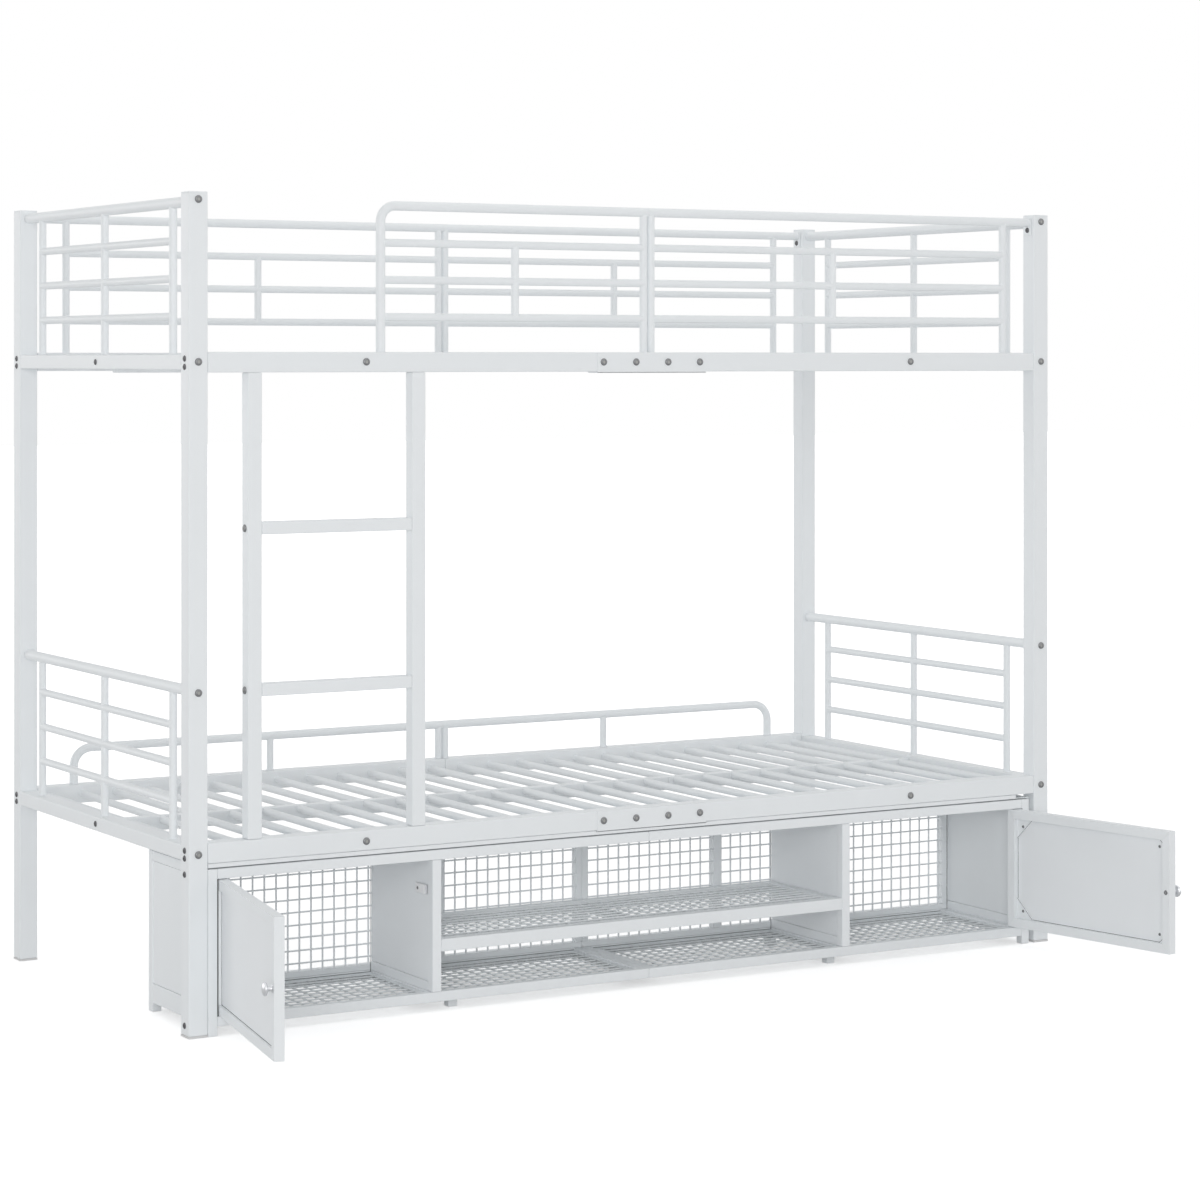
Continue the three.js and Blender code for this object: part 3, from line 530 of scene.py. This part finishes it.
# %% Upper guards
guard_top, guard_foot, guard_bend, guard_end = 1613, 1321.2, 32, 999.6
inner_bar, outer_bar, bent_leg = 9, 927, -620
plate_wall, plate_half, plate_below, plate_above = 2.4, 12, 28, 9
for side, y_way, hand, x_way in bed_corners:
    bm = bmesh.new()
    y, is_bent = y_way * post_y, side == "front" and hand == "left"
    inner, outer = x_way * inner_bar, bent_leg if is_bent else x_way * outer_bar
    if is_bent:
        path = bent((-half_seam, y, guard_top), (outer, y, guard_top), (outer, y, guard_foot), guard_bend)
        round_bars(bm, [path], guard_tube)
    else:
        round_bars(bm, [[(x_way * x, y, guard_top) for x in (half_seam, guard_end)]], guard_tube)
        bar(bm, (x_way * (guard_end - plate_wall), x_way * guard_end), span(y, plate_half),
            (guard_top - plate_below, guard_top + plate_above), 0.6)
        round_bars(bm, [[(outer, y, z) for z in (guard_foot, guard_top)]], thin_bar)
    between = (inner + outer) / 2
    uprights = [[(inner, y, guard_foot), (inner, y, guard_top)],
                [(between, y, guard_top - bar_rows[-1] * bar_pitch), (between, y, guard_top - bar_pitch)]]
    rungs = [[(x, y, guard_top - bar_pitch * k) for x in (inner, outer)] for k in bar_rows]
    round_bars(bm, uprights + rungs, thin_bar)
    piece(f"upper_{side}_rails_{hand}", bm, [f"upper_{side}_guard_{hand}"])
print("upper guards:", len(bed_corners))

# %% Lower rear guard
low_top, low_foot, low_end, low_bend, low_bars = 452.5, 374.2, 909, 40, (9, 438)
for hand, x_way in ends.items():
    bm = bmesh.new()
    corner, foot = (x_way * low_end, post_y, low_top), (x_way * low_end, post_y, low_foot)
    round_bars(bm, [bent((x_way * half_seam, post_y, low_top), corner, foot, low_bend)], guard_tube)
    uprights = [[(x_way * x, post_y, z) for z in (low_foot, low_top)] for x in low_bars]
    round_bars(bm, uprights, thin_bar)
    piece(f"lower_rear_rails_{hand}", bm, [f"lower_rear_guard_{hand}"])
print("guard height in mm:", round(low_top - decks["lower"], 1))

# %% [markdown]
# ## Ladder
# Two upright tubes carry two level rungs. They stand between the front rails, flush with them. Four plain
# tubes with rounded corners show all that the real ones do.

# %% Ladder
ladder_legs, rung_levels = {"left": -901, "right": -544}, (663, 978)
leg_half, rung_half, ladder_corner = 15, 12.5, 2.2
ladder_depth = (-half_width, -half_width + 2 * leg_half)
for hand, x in ladder_legs.items():
    bm = bmesh.new()
    bar(bm, span(x, leg_half), ladder_depth,
        (decks["lower"] + half_post + fit, decks["upper"] - half_post - fit), ladder_corner)
    piece(f"ladder_upright_{hand}", bm, [f"ladder_leg_{hand}"])
for index, z in enumerate(rung_levels, 1):
    bm = bmesh.new()
    bar(bm, (ladder_legs["left"] + leg_half + fit, ladder_legs["right"] - leg_half - fit), ladder_depth,
        span(z, rung_half), ladder_corner)
    piece(f"ladder_step_{index}", bm, [f"ladder_rung_{index}"])
print("rung pitch in mm:", rung_levels[1] - rung_levels[0])

# %% [markdown]
# ## Cabinet
# The low cabinet is a frame of 20 mm tubes. Nets close its floor, its shelf and its back, and painted sheet
# closes its top, its ends and the two dividers. Its halves meet in the middle, which shows as a fine seam.
# Its places are named once, because the doors and catches are set out from them as well.

# %% Cabinet places
cabinet_left, cabinet_right = -999.7, 986.3
cabinet_x = (cabinet_left + cabinet_right) / 2
front, cabinet_rear, square = -485, -185, 20
back_front = cabinet_rear - square
divider_offset, divider_half = 497, 10
top_low, top_high, floor_low, floor_high = 303, 323, 18, 38
run_ends = {"left": cabinet_left + square + fit, "right": cabinet_right - square - fit}
middles = {"left": cabinet_x - 0.25, "right": cabinet_x + 0.25}
across = (front + square, back_front)
tube_depths = ((front, across[0]), (cabinet_rear, across[1]))
dividers = {hand: cabinet_x + x_way * divider_offset for hand, x_way in ends.items()}
print("cabinet length in mm:", round(cabinet_right - cabinet_left, 1))

# %% Cabinet ends
for hand, x_way in ends.items():
    bm = bmesh.new()
    outer = cabinet_left if hand == "left" else cabinet_right
    inner, skin = outer - x_way * square, outer - x_way * 0.4
    for y in tube_depths:
        bar(bm, (outer, inner), y, (0, top_high))
    bar(bm, (skin, inner), across, (top_low, top_high - 0.4), 1.2)
    bar(bm, (skin, inner), across, (floor_low, 57), 1.2)
    bar(bm, (outer - x_way * 2, inner + x_way * 0.4), across, (58.2, 302), 0.4)
    bar(bm, (outer - x_way * 4, inner + x_way * 3), across, (56, 304), 0)
    piece(f"cabinet_end_{hand}", bm, [f"cabinet_side_{hand}"])
print("cabinet ends:", len(ends))

# %% Cabinet dividers
for hand, x_way in ends.items():
    bm = bmesh.new()
    x, rear = dividers[hand], back_front - fit
    bar(bm, span(x, 10), (front, across[0]), (floor_high + fit, top_low - fit), 1.2)
    bar(bm, span(x, 10), (across[0] + 0.6, rear), (floor_high + fit, 57), 0.6)
    bar(bm, span(x, 9.2), (across[0] + 1.2, rear), (58.2, top_low - fit), 0.4)
    bar(bm, span(x, 7), (across[0] - 1, rear - 2), (40, 301), 0)
    piece(f"cabinet_partition_{hand}", bm, [f"cabinet_divider_{hand}"], [sheet_coat_painted_light])
print("divider in mm:", 2 * divider_half)

# %% Cabinet top
sheet_low, sheet_wall, sheet_top, lip_low_top, lip_top, notch_half = 325.6, 1.5, 327.1, 331.1, 333.5, 134
lip_gap = {"left": 0, "right": 37}
for hand, x_way in ends.items():
    seam, divider = middles[hand], dividers[hand]
    run = (run_ends[hand], seam)
    bm = bmesh.new()
    for y in tube_depths:
        bar(bm, run, y, (top_low, top_high))
    for x in (span(divider, divider_half), (seam, seam + x_way * square)):
        bar(bm, x, across, (top_low, top_high - fit))
    corner = run[0] + x_way * (square + fit)
    bar(bm, (corner, seam), (front + 1, cabinet_rear), (sheet_low, sheet_top), 0.5)
    for y in (across[0] - 3, across[1] + sheet_wall):
        bar(bm, run, (y, y + sheet_wall), (322, 326), 0)
    lip_y, lip_end = (front, front + sheet_wall), corner - x_way * lip_gap[hand]
    bar(bm, (lip_end, seam), lip_y, (sheet_low, lip_low_top), 0)
    bar(bm, (lip_end, x_way * notch_half), lip_y, (lip_low_top, lip_top), 0)
    piece(f"cabinet_top_frame_{hand}", bm, [f"cabinet_top_{hand}"])
print("lip gap in mm:", lip_gap)

# %% Cabinet floor
floor_columns, floor_row = {"left": -716.2, "right": 712.3}, -297
floor_net, flange, flange_width, foot_shift, foot_offset = 28.6, (32.7, 33.9), 24, 13, 461
for hand, x_way in ends.items():
    seam, divider = middles[hand], dividers[hand]
    run, foot = (run_ends[hand], seam), cabinet_x + foot_shift + x_way * foot_offset
    bm = bmesh.new()
    for y in tube_depths:
        bar(bm, run, y, (floor_low, floor_high))
    outer, inner = run[0] - x_way * square, seam + x_way * square
    for x in ((run[0], outer), span(divider, divider_half), (seam, inner)):
        bar(bm, x, across, (floor_low, floor_high - fit))
    for y in (front + 25, cabinet_rear - 45):
        bar(bm, span(foot, 10), (y, y + 20), (0, floor_low + 0.5), 1.2)
    for near, far in ((outer, divider + x_way * divider_half), (divider - x_way * divider_half, inner)):
        low, high = min(near, far), max(near, far)
        net(bm, (low, high), across, floor_net, False, floor_columns[hand], floor_row)
        bar(bm, (low, high), (across[1], across[1] - flange_width), flange, 0.3)
        for x in ((low, low + 15), (high - 15, high)):
            bar(bm, x, (across[0], across[1] - flange_width + 1), flange, 0.3)
    piece(f"cabinet_floor_frame_{hand}", bm, [f"cabinet_floor_{hand}"])
print("floor nets:", 2 * len(ends))

# %% Cabinet back
window, back_row = (50.3, 282.7), 66.8
strip_inner, strip_outer, border, seam_border = 335.2, 357, 15, 14.5
back_nets = {"left": ((-964.4, -363.7, -700.9), (-341.9, -21.5, -314.4)),
             "right": ((7.8, 328.5, 34.4), (350.3, 490.3, 375.3), (490.3, 951, 707))}
for hand, x_way in ends.items():
    seam = middles[hand]
    run, rear = (run_ends[hand], seam), (back_front, cabinet_rear)
    strip = (cabinet_x + x_way * strip_inner, cabinet_x + x_way * strip_outer)
    bm = bmesh.new()
    bar(bm, run, rear, (floor_high + fit, window[0]), 1.2)
    bar(bm, run, rear, (window[1], top_low - fit), 1.2)
    for x in ((run[0], run[0] - x_way * border), (seam, seam + x_way * seam_border), strip):
        bar(bm, x, rear, window, 1.2)
    for near, far, column in back_nets[hand]:
        net(bm, (near, far), window, back_front + 4, True, column, back_row)
    piece(f"cabinet_rear_net_{hand}", bm, [f"cabinet_back_{hand}"])
print("back nets:", sum(len(nets) for nets in back_nets.values()))

# %% [markdown]
# ## Painted shade lines
# Where two sheets or tubes meet, a fine groove or gap falls in shade and shows as a dark line. A groove of
# that size would need far more faces, so thin dark strips lie in the corners instead, as painted shade.

# %% Painted shade lines of the cabinet
shade_line_width, shade_line_wall, hinge_gap_shade = 0.9, 0.3, 1.5
shade_line_depth, shade_line_height = (back_front - shade_line_wall, back_front), (34, top_low)
bm = bmesh.new()
for hand, x_way in ends.items():
    run = (run_ends[hand], middles[hand])
    # Dark strips at the foot and corners of the back and beside the dividers: painted shade of the gaps
    # there.
    bar(bm, run, shade_line_depth, (34, 34 + shade_line_width), 0)
    bar(bm, (run[0], run[0] - x_way * shade_line_width), shade_line_depth, shade_line_height, 0)
    for side_way in (-1, 1):
        wall = dividers[hand] + side_way * divider_half
        bar(bm, (wall, wall + side_way * shade_line_width), shade_line_depth, shade_line_height, 0)
    # A dark strip beside the leg: painted shade of the hinge gap between the leg and the door.
    bar(bm, (run[0], run[0] + x_way * hinge_gap_shade), (front - 0.2, front),
        (floor_high, top_low), 0)
piece("cabinet_joints", bm, (), [painted_gap_shade])
print("joint width in mm:", shade_line_width)

# %% Shelf
shelf_low, shelf_high, shelf_net = 118, 143, 136.4
shelf_half = divider_offset - divider_half - fit
left, right = span(cabinet_x, shelf_half)
shelf_rear = back_front - fit
inside = (across[0], shelf_rear - square)
bm = bmesh.new()
for y in ((front, inside[0]), (inside[1], shelf_rear)):
    bar(bm, (left, right), y, (shelf_low, shelf_high))
for x in ((left, left + square), (right - square, right)):
    bar(bm, x, inside, (shelf_low, shelf_high - fit))
net(bm, (left + square, right - square), inside, shelf_net, False, floor_columns["left"],
    floor_row)
bar(bm, span(cabinet_x, 10), inside, (shelf_low, 134), 1.2)
piece("cabinet_shelf_net", bm, ["cabinet_shelf"])

# %% [markdown]
# ## Doors
# A door is four mitred square tubes round a thin sheet, with a gusset in each corner. Mitred ends are cut
# at 45 degrees, so they are drawn from their corners and not as bars. A door is drawn shut, flat on the
# cabinet's front, where its sizes are plain to read, and then turned about its hinge line into its open
# place.

# %% Door sizes
door_width, door_tube, edge_to_axis = 460, 20, 10.3
door_low, door_high = 39.5, 301.5
hinge_gusset, free_gusset = 44, 16
open_angle, hinge_y, hinge_inset = 100.5, -475, 34.3
hinge_x = {"left": cabinet_left + hinge_inset, "right": cabinet_right - hinge_inset}
tube_faces = span(hinge_y, door_tube / 2)
sheet_faces, gusset_faces = (hinge_y - 4, hinge_y - 2.8), (hinge_y - 2.5, hinge_y - 0.5)
slant_width = 0.6
print("door in mm:", door_width, "by", door_high - door_low)


# %% Mitred tubes
def mitred(bm, outline, inset, faces):
    """Four tubes round a rectangle in the plane of X and Z, cut at 45 degrees where they meet."""
    (x0, z0), (x1, z1) = outline
    out = [(x0, z0), (x1, z0), (x1, z1), (x0, z1)]
    into = [(x0 + inset, z0 + inset), (x1 - inset, z0 + inset),
            (x1 - inset, z1 - inset), (x0 + inset, z1 - inset)]
    for here in range(4):
        after = (here + 1) % 4
        made = solid(bm, [out[here], out[after], into[after], into[here]], faces)
        edges = dict.fromkeys(edge for face in made for edge in face.edges)
        bmesh.ops.bevel(bm, geom=list(edges), offset=0.5 * mm, segments=2, profile=0.5, affect="EDGES")


def gussets(hinge_edge, free_edge, x_way):
    """The inner corners of a door: X, Z, the ways along both, and the gusset's leg."""
    places = []
    for stile_edge, away, leg in ((hinge_edge, -x_way, hinge_gusset), (free_edge, x_way, free_gusset)):
        for corner_z, into_z in ((door_low + door_tube, 1), (door_high - door_tube, -1)):
            places.append((stile_edge + away * door_tube, corner_z, away, into_z, leg))
    return places


# %% Door frames and sheets
door_places = {}
for hand, x_way in ends.items():
    hinge = at(hinge_x[hand], hinge_y, 0)
    turned_open = Matrix.Rotation(math.radians(x_way * open_angle), 4, "Z")
    swings[f"door_{hand}"] = Matrix.Translation(hinge) @ turned_open @ Matrix.Translation(-hinge)
    hinge_edge = hinge_x[hand] + x_way * edge_to_axis
    free_edge = hinge_edge - x_way * door_width
    door_places[hand] = (hinge_edge, free_edge)
    left, right = min(hinge_edge, free_edge), max(hinge_edge, free_edge)
    bm = bmesh.new()
    mitred(bm, ((left, door_low), (right, door_high)), door_tube, tube_faces)
    for x, z, away, into_z, leg in gussets(hinge_edge, free_edge, x_way):
        solid(bm, [(x, z), (x + away * leg, z), (x, z + into_z * leg)], gusset_faces)
    piece(f"door_tubes_{hand}", bm, [f"door_frame_{hand}"], body=f"door_{hand}")

    bm = bmesh.new()
    bar(bm, (left + door_tube, right - door_tube), sheet_faces,
        (door_low + door_tube, door_high - door_tube), 0)
    piece(f"door_panel_{hand}", bm, [f"door_sheet_{hand}"], [sheet_coat_painted_light], f"door_{hand}")
print("doors:", len(door_places))

# %% Painted shade lines of the doors
for hand, (hinge_edge, free_edge) in door_places.items():
    bm = bmesh.new()
    x_low, x_high = min(hinge_edge, free_edge) + door_tube, max(hinge_edge, free_edge) - door_tube
    z_low, z_high = door_low + door_tube, door_high - door_tube
    # Dark strips round each recess, on both faces of the sheet: painted shade where the sheet meets the
    # tubes.
    for faces in ((sheet_faces[0] - 0.2, sheet_faces[0] + 0.1), (sheet_faces[1] - 0.1, sheet_faces[1] + 0.2)):
        for z in ((z_low, z_low + shade_line_width), (z_high - shade_line_width, z_high)):
            bar(bm, (x_low, x_high), faces, z, 0)
        for x in ((x_low, x_low + shade_line_width), (x_high - shade_line_width, x_high)):
            bar(bm, x, faces, (z_low, z_high), 0)
    # A dark strip along each gusset's slanted edge: painted shade under that edge.
    for x, z, away, into_z, leg in gussets(hinge_edge, free_edge, ends[hand]):
        slant = bmesh.ops.create_cube(bm, size=1)["verts"]
        place = Matrix.Translation(at(x + away * leg / 2, gusset_faces[1] + 0.05, z + into_z * leg / 2))
        lean = Matrix.Rotation(math.radians(45 * away * into_z), 4, "Y")
        sizes = Matrix.Diagonal((leg * math.sqrt(2) * mm, shade_line_wall * mm, slant_width * mm, 1))
        bmesh.ops.transform(bm, matrix=place @ lean @ sizes, verts=slant)
    piece(f"door_joints_{hand}", bm, (), [painted_gap_shade], f"door_{hand}")

# %% [markdown]
# ## Knobs
# A knob is turned from bright steel: a small foot, a slim neck and a cap that is round like a button. As on
# a lathe, its outline is drawn once and carried round the axis. The cap's outline is a bit more than a
# quarter of an ellipse.

# %% Knob outline
knob_reach, cap_radius, cap_half, neck_radius, foot_radius = 20, 13, 5.6, 4.9, 7.5
cap_steps, cap_end = 12, math.radians(88)
cap_start = -math.acos(neck_radius / cap_radius)
knob_outline = [(foot_radius, 0), (foot_radius, 1), (neck_radius + 0.6, 2.2), (neck_radius, 4)]
for index in range(cap_steps + 1):
    angle = cap_start + (cap_end - cap_start) * index / cap_steps
    height = knob_reach - cap_half + cap_half * math.sin(angle)
    knob_outline.append((cap_radius * math.cos(angle), height))
print("knob outline points:", len(knob_outline))


# %% Turned bodies
def bridge(bm, loops):
    """Walls between rings of the same number of points, from the first ring to the last."""
    made = []
    for lower, upper in zip(loops, loops[1:]):
        for here in range(len(lower)):
            after = (here + 1) % len(lower)
            made.append(bm.faces.new((lower[here], lower[after], upper[after], upper[here])))
    return made


def turned(bm, outline, foot, around=40):
    """A closed turned body from (radius, height) pairs in mm, on a foot, with its axis along -Y."""
    angles = [2 * math.pi * index / around for index in range(around)]
    x, y, z = foot
    loops = [[bm.verts.new(at(x + radius * math.cos(angle), y - height, z + radius * math.sin(angle)))
              for angle in angles] for radius, height in outline]
    made = [bm.faces.new(loops[0]), bm.faces.new(loops[-1])]
    bmesh.ops.recalc_face_normals(bm, faces=made + bridge(bm, loops))


# %% Knobs
door_middle = (door_low + door_high) / 2
for hand, (_, free_edge) in door_places.items():
    bm = bmesh.new()
    stile_middle = free_edge + ends[hand] * door_tube / 2
    turned(bm, knob_outline, (stile_middle, tube_faces[0] - 0.1, door_middle))
    piece(f"door_pull_{hand}", bm, [f"door_knob_{hand}"], [knob_steel], f"door_{hand}")
print("knob reach in mm:", knob_reach)

# %% [markdown]
# ## Magnetic catches
# Each catch is a small white block on the divider, with one screw and two bright pole plates that stand at
# its front, where the closed door meets them. All of it is flat work, made from small bars.

# %% Catches
catch_z, catch_front, catch_wall, catch_length, catch_half = 242, front + 22, 8, 40, 9.25
pole_half, pole_wall = 9.8, 1.6
catch_screws = []
for hand, x_way in ends.items():
    wall = dividers[hand] + x_way * (divider_half + fit)
    outer = wall + x_way * catch_wall
    bm = bmesh.new()
    bar(bm, (wall, outer), (catch_front, catch_front + catch_length), span(catch_z, catch_half), 1.5)
    piece(f"catch_block_{hand}", bm, [f"door_catch_{hand}"], [catch_plastic])
    bm = bmesh.new()
    for x in (wall + x_way * 1.2, wall + x_way * 5):
        bar(bm, (x, x + x_way * pole_wall), (catch_front - 1.4, catch_front + 2),
            span(catch_z, pole_half), 0.3)
    piece(f"catch_plates_{hand}", bm, (), [knob_steel])
    catch_screws.append(((outer, catch_front + 28, catch_z), (x_way, 0, 0)))
print("catches:", len(catch_screws))

# %% [markdown]
# ## Bolts and screws
# One head is turned and its hex socket is pressed in. A mesh of single points says where the heads sit, and
# an attribute on each point says which way it faces. The tree then sets a head on every point, so one
# number moves a bolt.

# %% Heads
head_sides, socket_sides = 24, 6


def socket_reach(radius, angle):
    """How far a hex socket reaches at an angle."""
    half_side = math.pi / socket_sides
    return radius * math.cos(half_side) / math.cos((angle % (2 * half_side)) - half_side)


def head(name, diameter, height, socket, sink, finishes):
    """A low round head with a pressed socket, sizes in mm, its seat on z = 0."""
    radius, inner = diameter / 2 * mm, socket / 2 * mm
    angles = [2 * math.pi * index / head_sides for index in range(head_sides)]
    rings = [(radius, 0), (radius, height * 0.3), (radius * 0.9, height * 0.75),
             (radius * 0.72, height), (inner * 1.15, height)]
    outlines = [([size] * head_sides, z) for size, z in rings]
    outlines += [([socket_reach(inner, angle) for angle in angles], z) for z in (height, height - sink)]
    bm = bmesh.new()
    loops = [[bm.verts.new((size * math.cos(angle), size * math.sin(angle), z * mm))
              for size, angle in zip(outline, angles)] for outline, z in outlines]
    bridge(bm, loops)
    bottom, floor = bm.faces.new(list(reversed(loops[0]))), bm.faces.new(loops[-1])
    floor.material_index = 1
    for face in bm.faces:
        face.smooth = face not in (bottom, floor)
    return mesh_object(name, bm, finishes)


big_head = head("big_head", 15, 3.2, 7, 0.9, (bolt_steel, socket_steel))
small_head = head("small_head", 12, 2.4, 4.5, 1.2, (screw_steel, screw_steel))
door_head = head("door_head", 6.4, 1.2, 2.6, 0.7, (bolt_steel, bolt_steel))
knob_head = head("knob_head", 10, 1.2, 5, 0.8, (bolt_steel, plate_steel))
print("faces of a head:", len(big_head.data.polygons))


# %% Heads on points
def set_heads(name, model, places, body="bed"):
    """Sets a head on each (point in mm, direction) and makes the lot one piece."""
    start = bpy.data.meshes.new("points")
    start.from_pydata([at(*point) for point, _ in places], [], [])
    facing = start.attributes.new("facing", "FLOAT_VECTOR", "POINT")
    for index, (_, way) in enumerate(places):
        facing.data[index].vector = way
    rim, socket_floor = model.data.materials
    bm = bmesh.new()
    take(bm, grow(bolt_tree, start, **{"Head": model, "Material": rim, "Socket finish": socket_floor}))
    piece(name, bm, (), [rim, socket_floor], body)


# %% Bolts of the bed
post_bolts, rail_bolts, rail_bolt_x = (1615, 1301.7, 664.5, 352.8), (1301.7, 352.5), 661
end_screws, leg_screws, plate_screw = (1308, 1292, 360, 345), (314, 23), (997.2, 1596)
channel_face = half_width + 1.1
big, small = [], []
for y_way in sides.values():
    out = (0, y_way, 0)
    for x_way in ends.values():
        side_way = (x_way, 0, 0)
        big += [((x_way * post_x, y_way * half_width, z), out) for z in post_bolts]
        big += [((x_way * rail_bolt_x, y_way * half_width, z), out) for z in rail_bolts]
        small += [((x_way * half_length, y_way * post_y, z), side_way) for z in end_screws]
        small.append(((x_way * plate_screw[0], y_way * post_y, plate_screw[1]), (-x_way, 0, 0)))
    for step in (-1.5, -0.5, 0.5, 1.5):
        big += [((step * slat_pitch, y_way * channel_face, z), out) for z in reversed(decks.values())]
for x_way in ends.values():
    small += [((x_way * half_length, 0, z), (x_way, 0, 0)) for z in reversed(decks.values())]
for hand, x in ladder_legs.items():
    way = ends[hand]
    big += [((x + way * leg_half, leg_half - half_width, z), (way, 0, 0)) for z in rung_levels]
small += [((-half_length, -post_y, z), (-1, 0, 0)) for z in leg_screws]
set_heads("bed_bolts", big_head, big)
set_heads("bed_screws", small_head, small)
set_heads("catch_screws", door_head, catch_screws)
print("bolts:", len(big), "screws:", len(small))

# %% Screws of the doors
inset = door_tube + 17
for hand, (_, free_edge) in door_places.items():
    x_way, body = ends[hand], f"door_{hand}"
    corners = []
    for x, seat in ((door_width - inset, gusset_faces[1]), (inset, sheet_faces[1])):
        for z in (door_low + inset, door_high - inset):
            corners.append(((free_edge + x_way * x, seat, z), (0, 1, 0)))
    stile_middle = (free_edge + x_way * door_tube / 2, tube_faces[1], door_middle)
    set_heads(f"door_screws_{hand}", door_head, corners, body)
    set_heads(f"knob_screw_{hand}", knob_head, [(stile_middle, (0, 1, 0))], body)
print("screws of a door:", len(corners) + 1)

# %% Rail channels
channel_run, channel_below, channel_inner = (-132, 132), 22.4, 446
for level, centre in decks.items():
    for side, y_way in sides.items():
        bm = bmesh.new()
        face = y_way * (half_width + 0.2)
        outside = face + y_way * 0.9
        bar(bm, channel_run, (face, outside), (centre - channel_below, centre + half_post), 0.7)
        bar(bm, channel_run, (y_way * channel_inner, outside),
            (centre - channel_below, centre - half_post - fit), 0.7)
        piece(f"{level}_{side}_channel", bm, [f"{level}_{side}_splice"])

# %% [markdown]
# ## Finishes of the solids
# The glides and the hinge rods keep their own solids and only need their finish. The solids that a piece
# stands for are hidden, and get a like finish so that no plain colour is left in the bed.

# %% Finishes on the frame
finishes = {"glide_": glide_plastic, "door_catch": catch_plastic, "door_knob": knob_steel,
            "door_hinge_rod": bolt_steel}
for name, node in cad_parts.items():
    material = next((finish for key, finish in finishes.items() if name.startswith(key)), white_coat)
    node.data.materials.clear()
    node.data.materials.append(material)
print("solids:", len(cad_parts))

# %% [markdown]
# ## Floor, air and light
# The picture has a white ground and little shadow. Light Path tells the eye's rays from the light's, so the
# air is white to the eye and in steel, but lights the bed at a plain level. The floor is a white sheet that
# keeps a soft shadow under the bed and glows white to the eye further out, where the lamps fall off. Five
# wide lamps far away give the faces their small differences: most from the front left, least from the front
# right.

# %% Air
air_level, white_level = 0.42, 1.0
world = bpy.data.worlds.new("air")
bpy.context.scene.world = world
world.use_nodes = True
tree = world.node_tree
background = tree.nodes["Background"]
background.inputs["Color"].default_value = (1, 1, 1, 1)
rays = tree.nodes.new("ShaderNodeLightPath")
seen, also = [math_node(tree, "MAXIMUM") for _ in range(2)]
strength = add_node(tree, "ShaderNodeMapRange", {"To Min": air_level, "To Max": white_level})
link(tree, (rays, "Is Camera Ray", seen, 0), (rays, "Is Glossy Ray", seen, 1), (seen, 0, also, 0),
     (rays, "Is Transmission Ray", also, 1), (also, 0, strength, "Value"),
     (strength, 0, background, "Strength"))
print("air level:", air_level)

# %% Floor finish
glow_near, glow_from, glow_to = 0.45, 1.8, 5.5
floor_material = bpy.data.materials.new("white_floor")
floor_material.use_nodes = True
tree = floor_material.node_tree
shader = tree.nodes["Principled BSDF"]
set_inputs(shader, {"Base Color": (0.96, 0.96, 0.96, 1), "Roughness": 0.9, "Specular IOR Level": 0,
                    "Emission Color": (1, 1, 1, 1)})
rays = tree.nodes.new("ShaderNodeLightPath")
glow = math_node(tree, "MULTIPLY")
place = tree.nodes.new("ShaderNodeTexCoord")
distance = add_node(tree, "ShaderNodeVectorMath", operation="LENGTH")
fade = add_node(tree, "ShaderNodeMapRange", {"From Min": glow_from, "From Max": glow_to,
                                             "To Min": glow_near, "To Max": white_level})
link(tree, (place, "Object", distance, 0), (distance, "Value", fade, "Value"), (fade, "Result", glow, 1),
     (rays, "Is Camera Ray", glow, 0), (glow, 0, shader, "Emission Strength"))
print("full glow beyond", glow_to, "m")

# %% Floor
reach, drop = 40, -0.0005
floor_mesh = bpy.data.meshes.new("floor")
outline = [(-reach, -reach, drop), (reach, -reach, drop), (reach, reach, drop), (-reach, reach, drop)]
floor_mesh.from_pydata(outline, [], [(0, 1, 2, 3)])
floor_mesh.materials.append(floor_material)
floor = add_object("floor", floor_mesh)
print("floor width in m:", 2 * reach)

# %% Lamps
lamp_size, lamp_target = 6.0, Vector((0, 0, 0.7))
lamps = {
    "front_left_soft": ((-6.0, -9.0, 2.0), 365),
    "front_right_soft": ((6.0, -9.0, 2.5), 55),
    "back_left_soft": ((-7.0, 8.0, 1.2), 220),
    "right_soft": ((11.0, -3.0, 2.0), 150),
    "top_soft": ((0.5, 0.5, 6.0), 85),
}
for name, (place, power) in lamps.items():
    light = bpy.data.lights.new(name, "AREA")
    light.energy, light.size = power, lamp_size
    lamp = add_object(name, light)
    lamp.location = place
    lamp.rotation_euler = (lamp_target - Vector(place)).to_track_quat("-Z", "Y").to_euler()
print("lamps:", len(lamps))

# %% [markdown]
# ## Clearing up
# The four bolt heads were only patterns, and they go.

# %% Finish
for pattern in (big_head, small_head, door_head, knob_head):
    bpy.data.objects.remove(pattern)
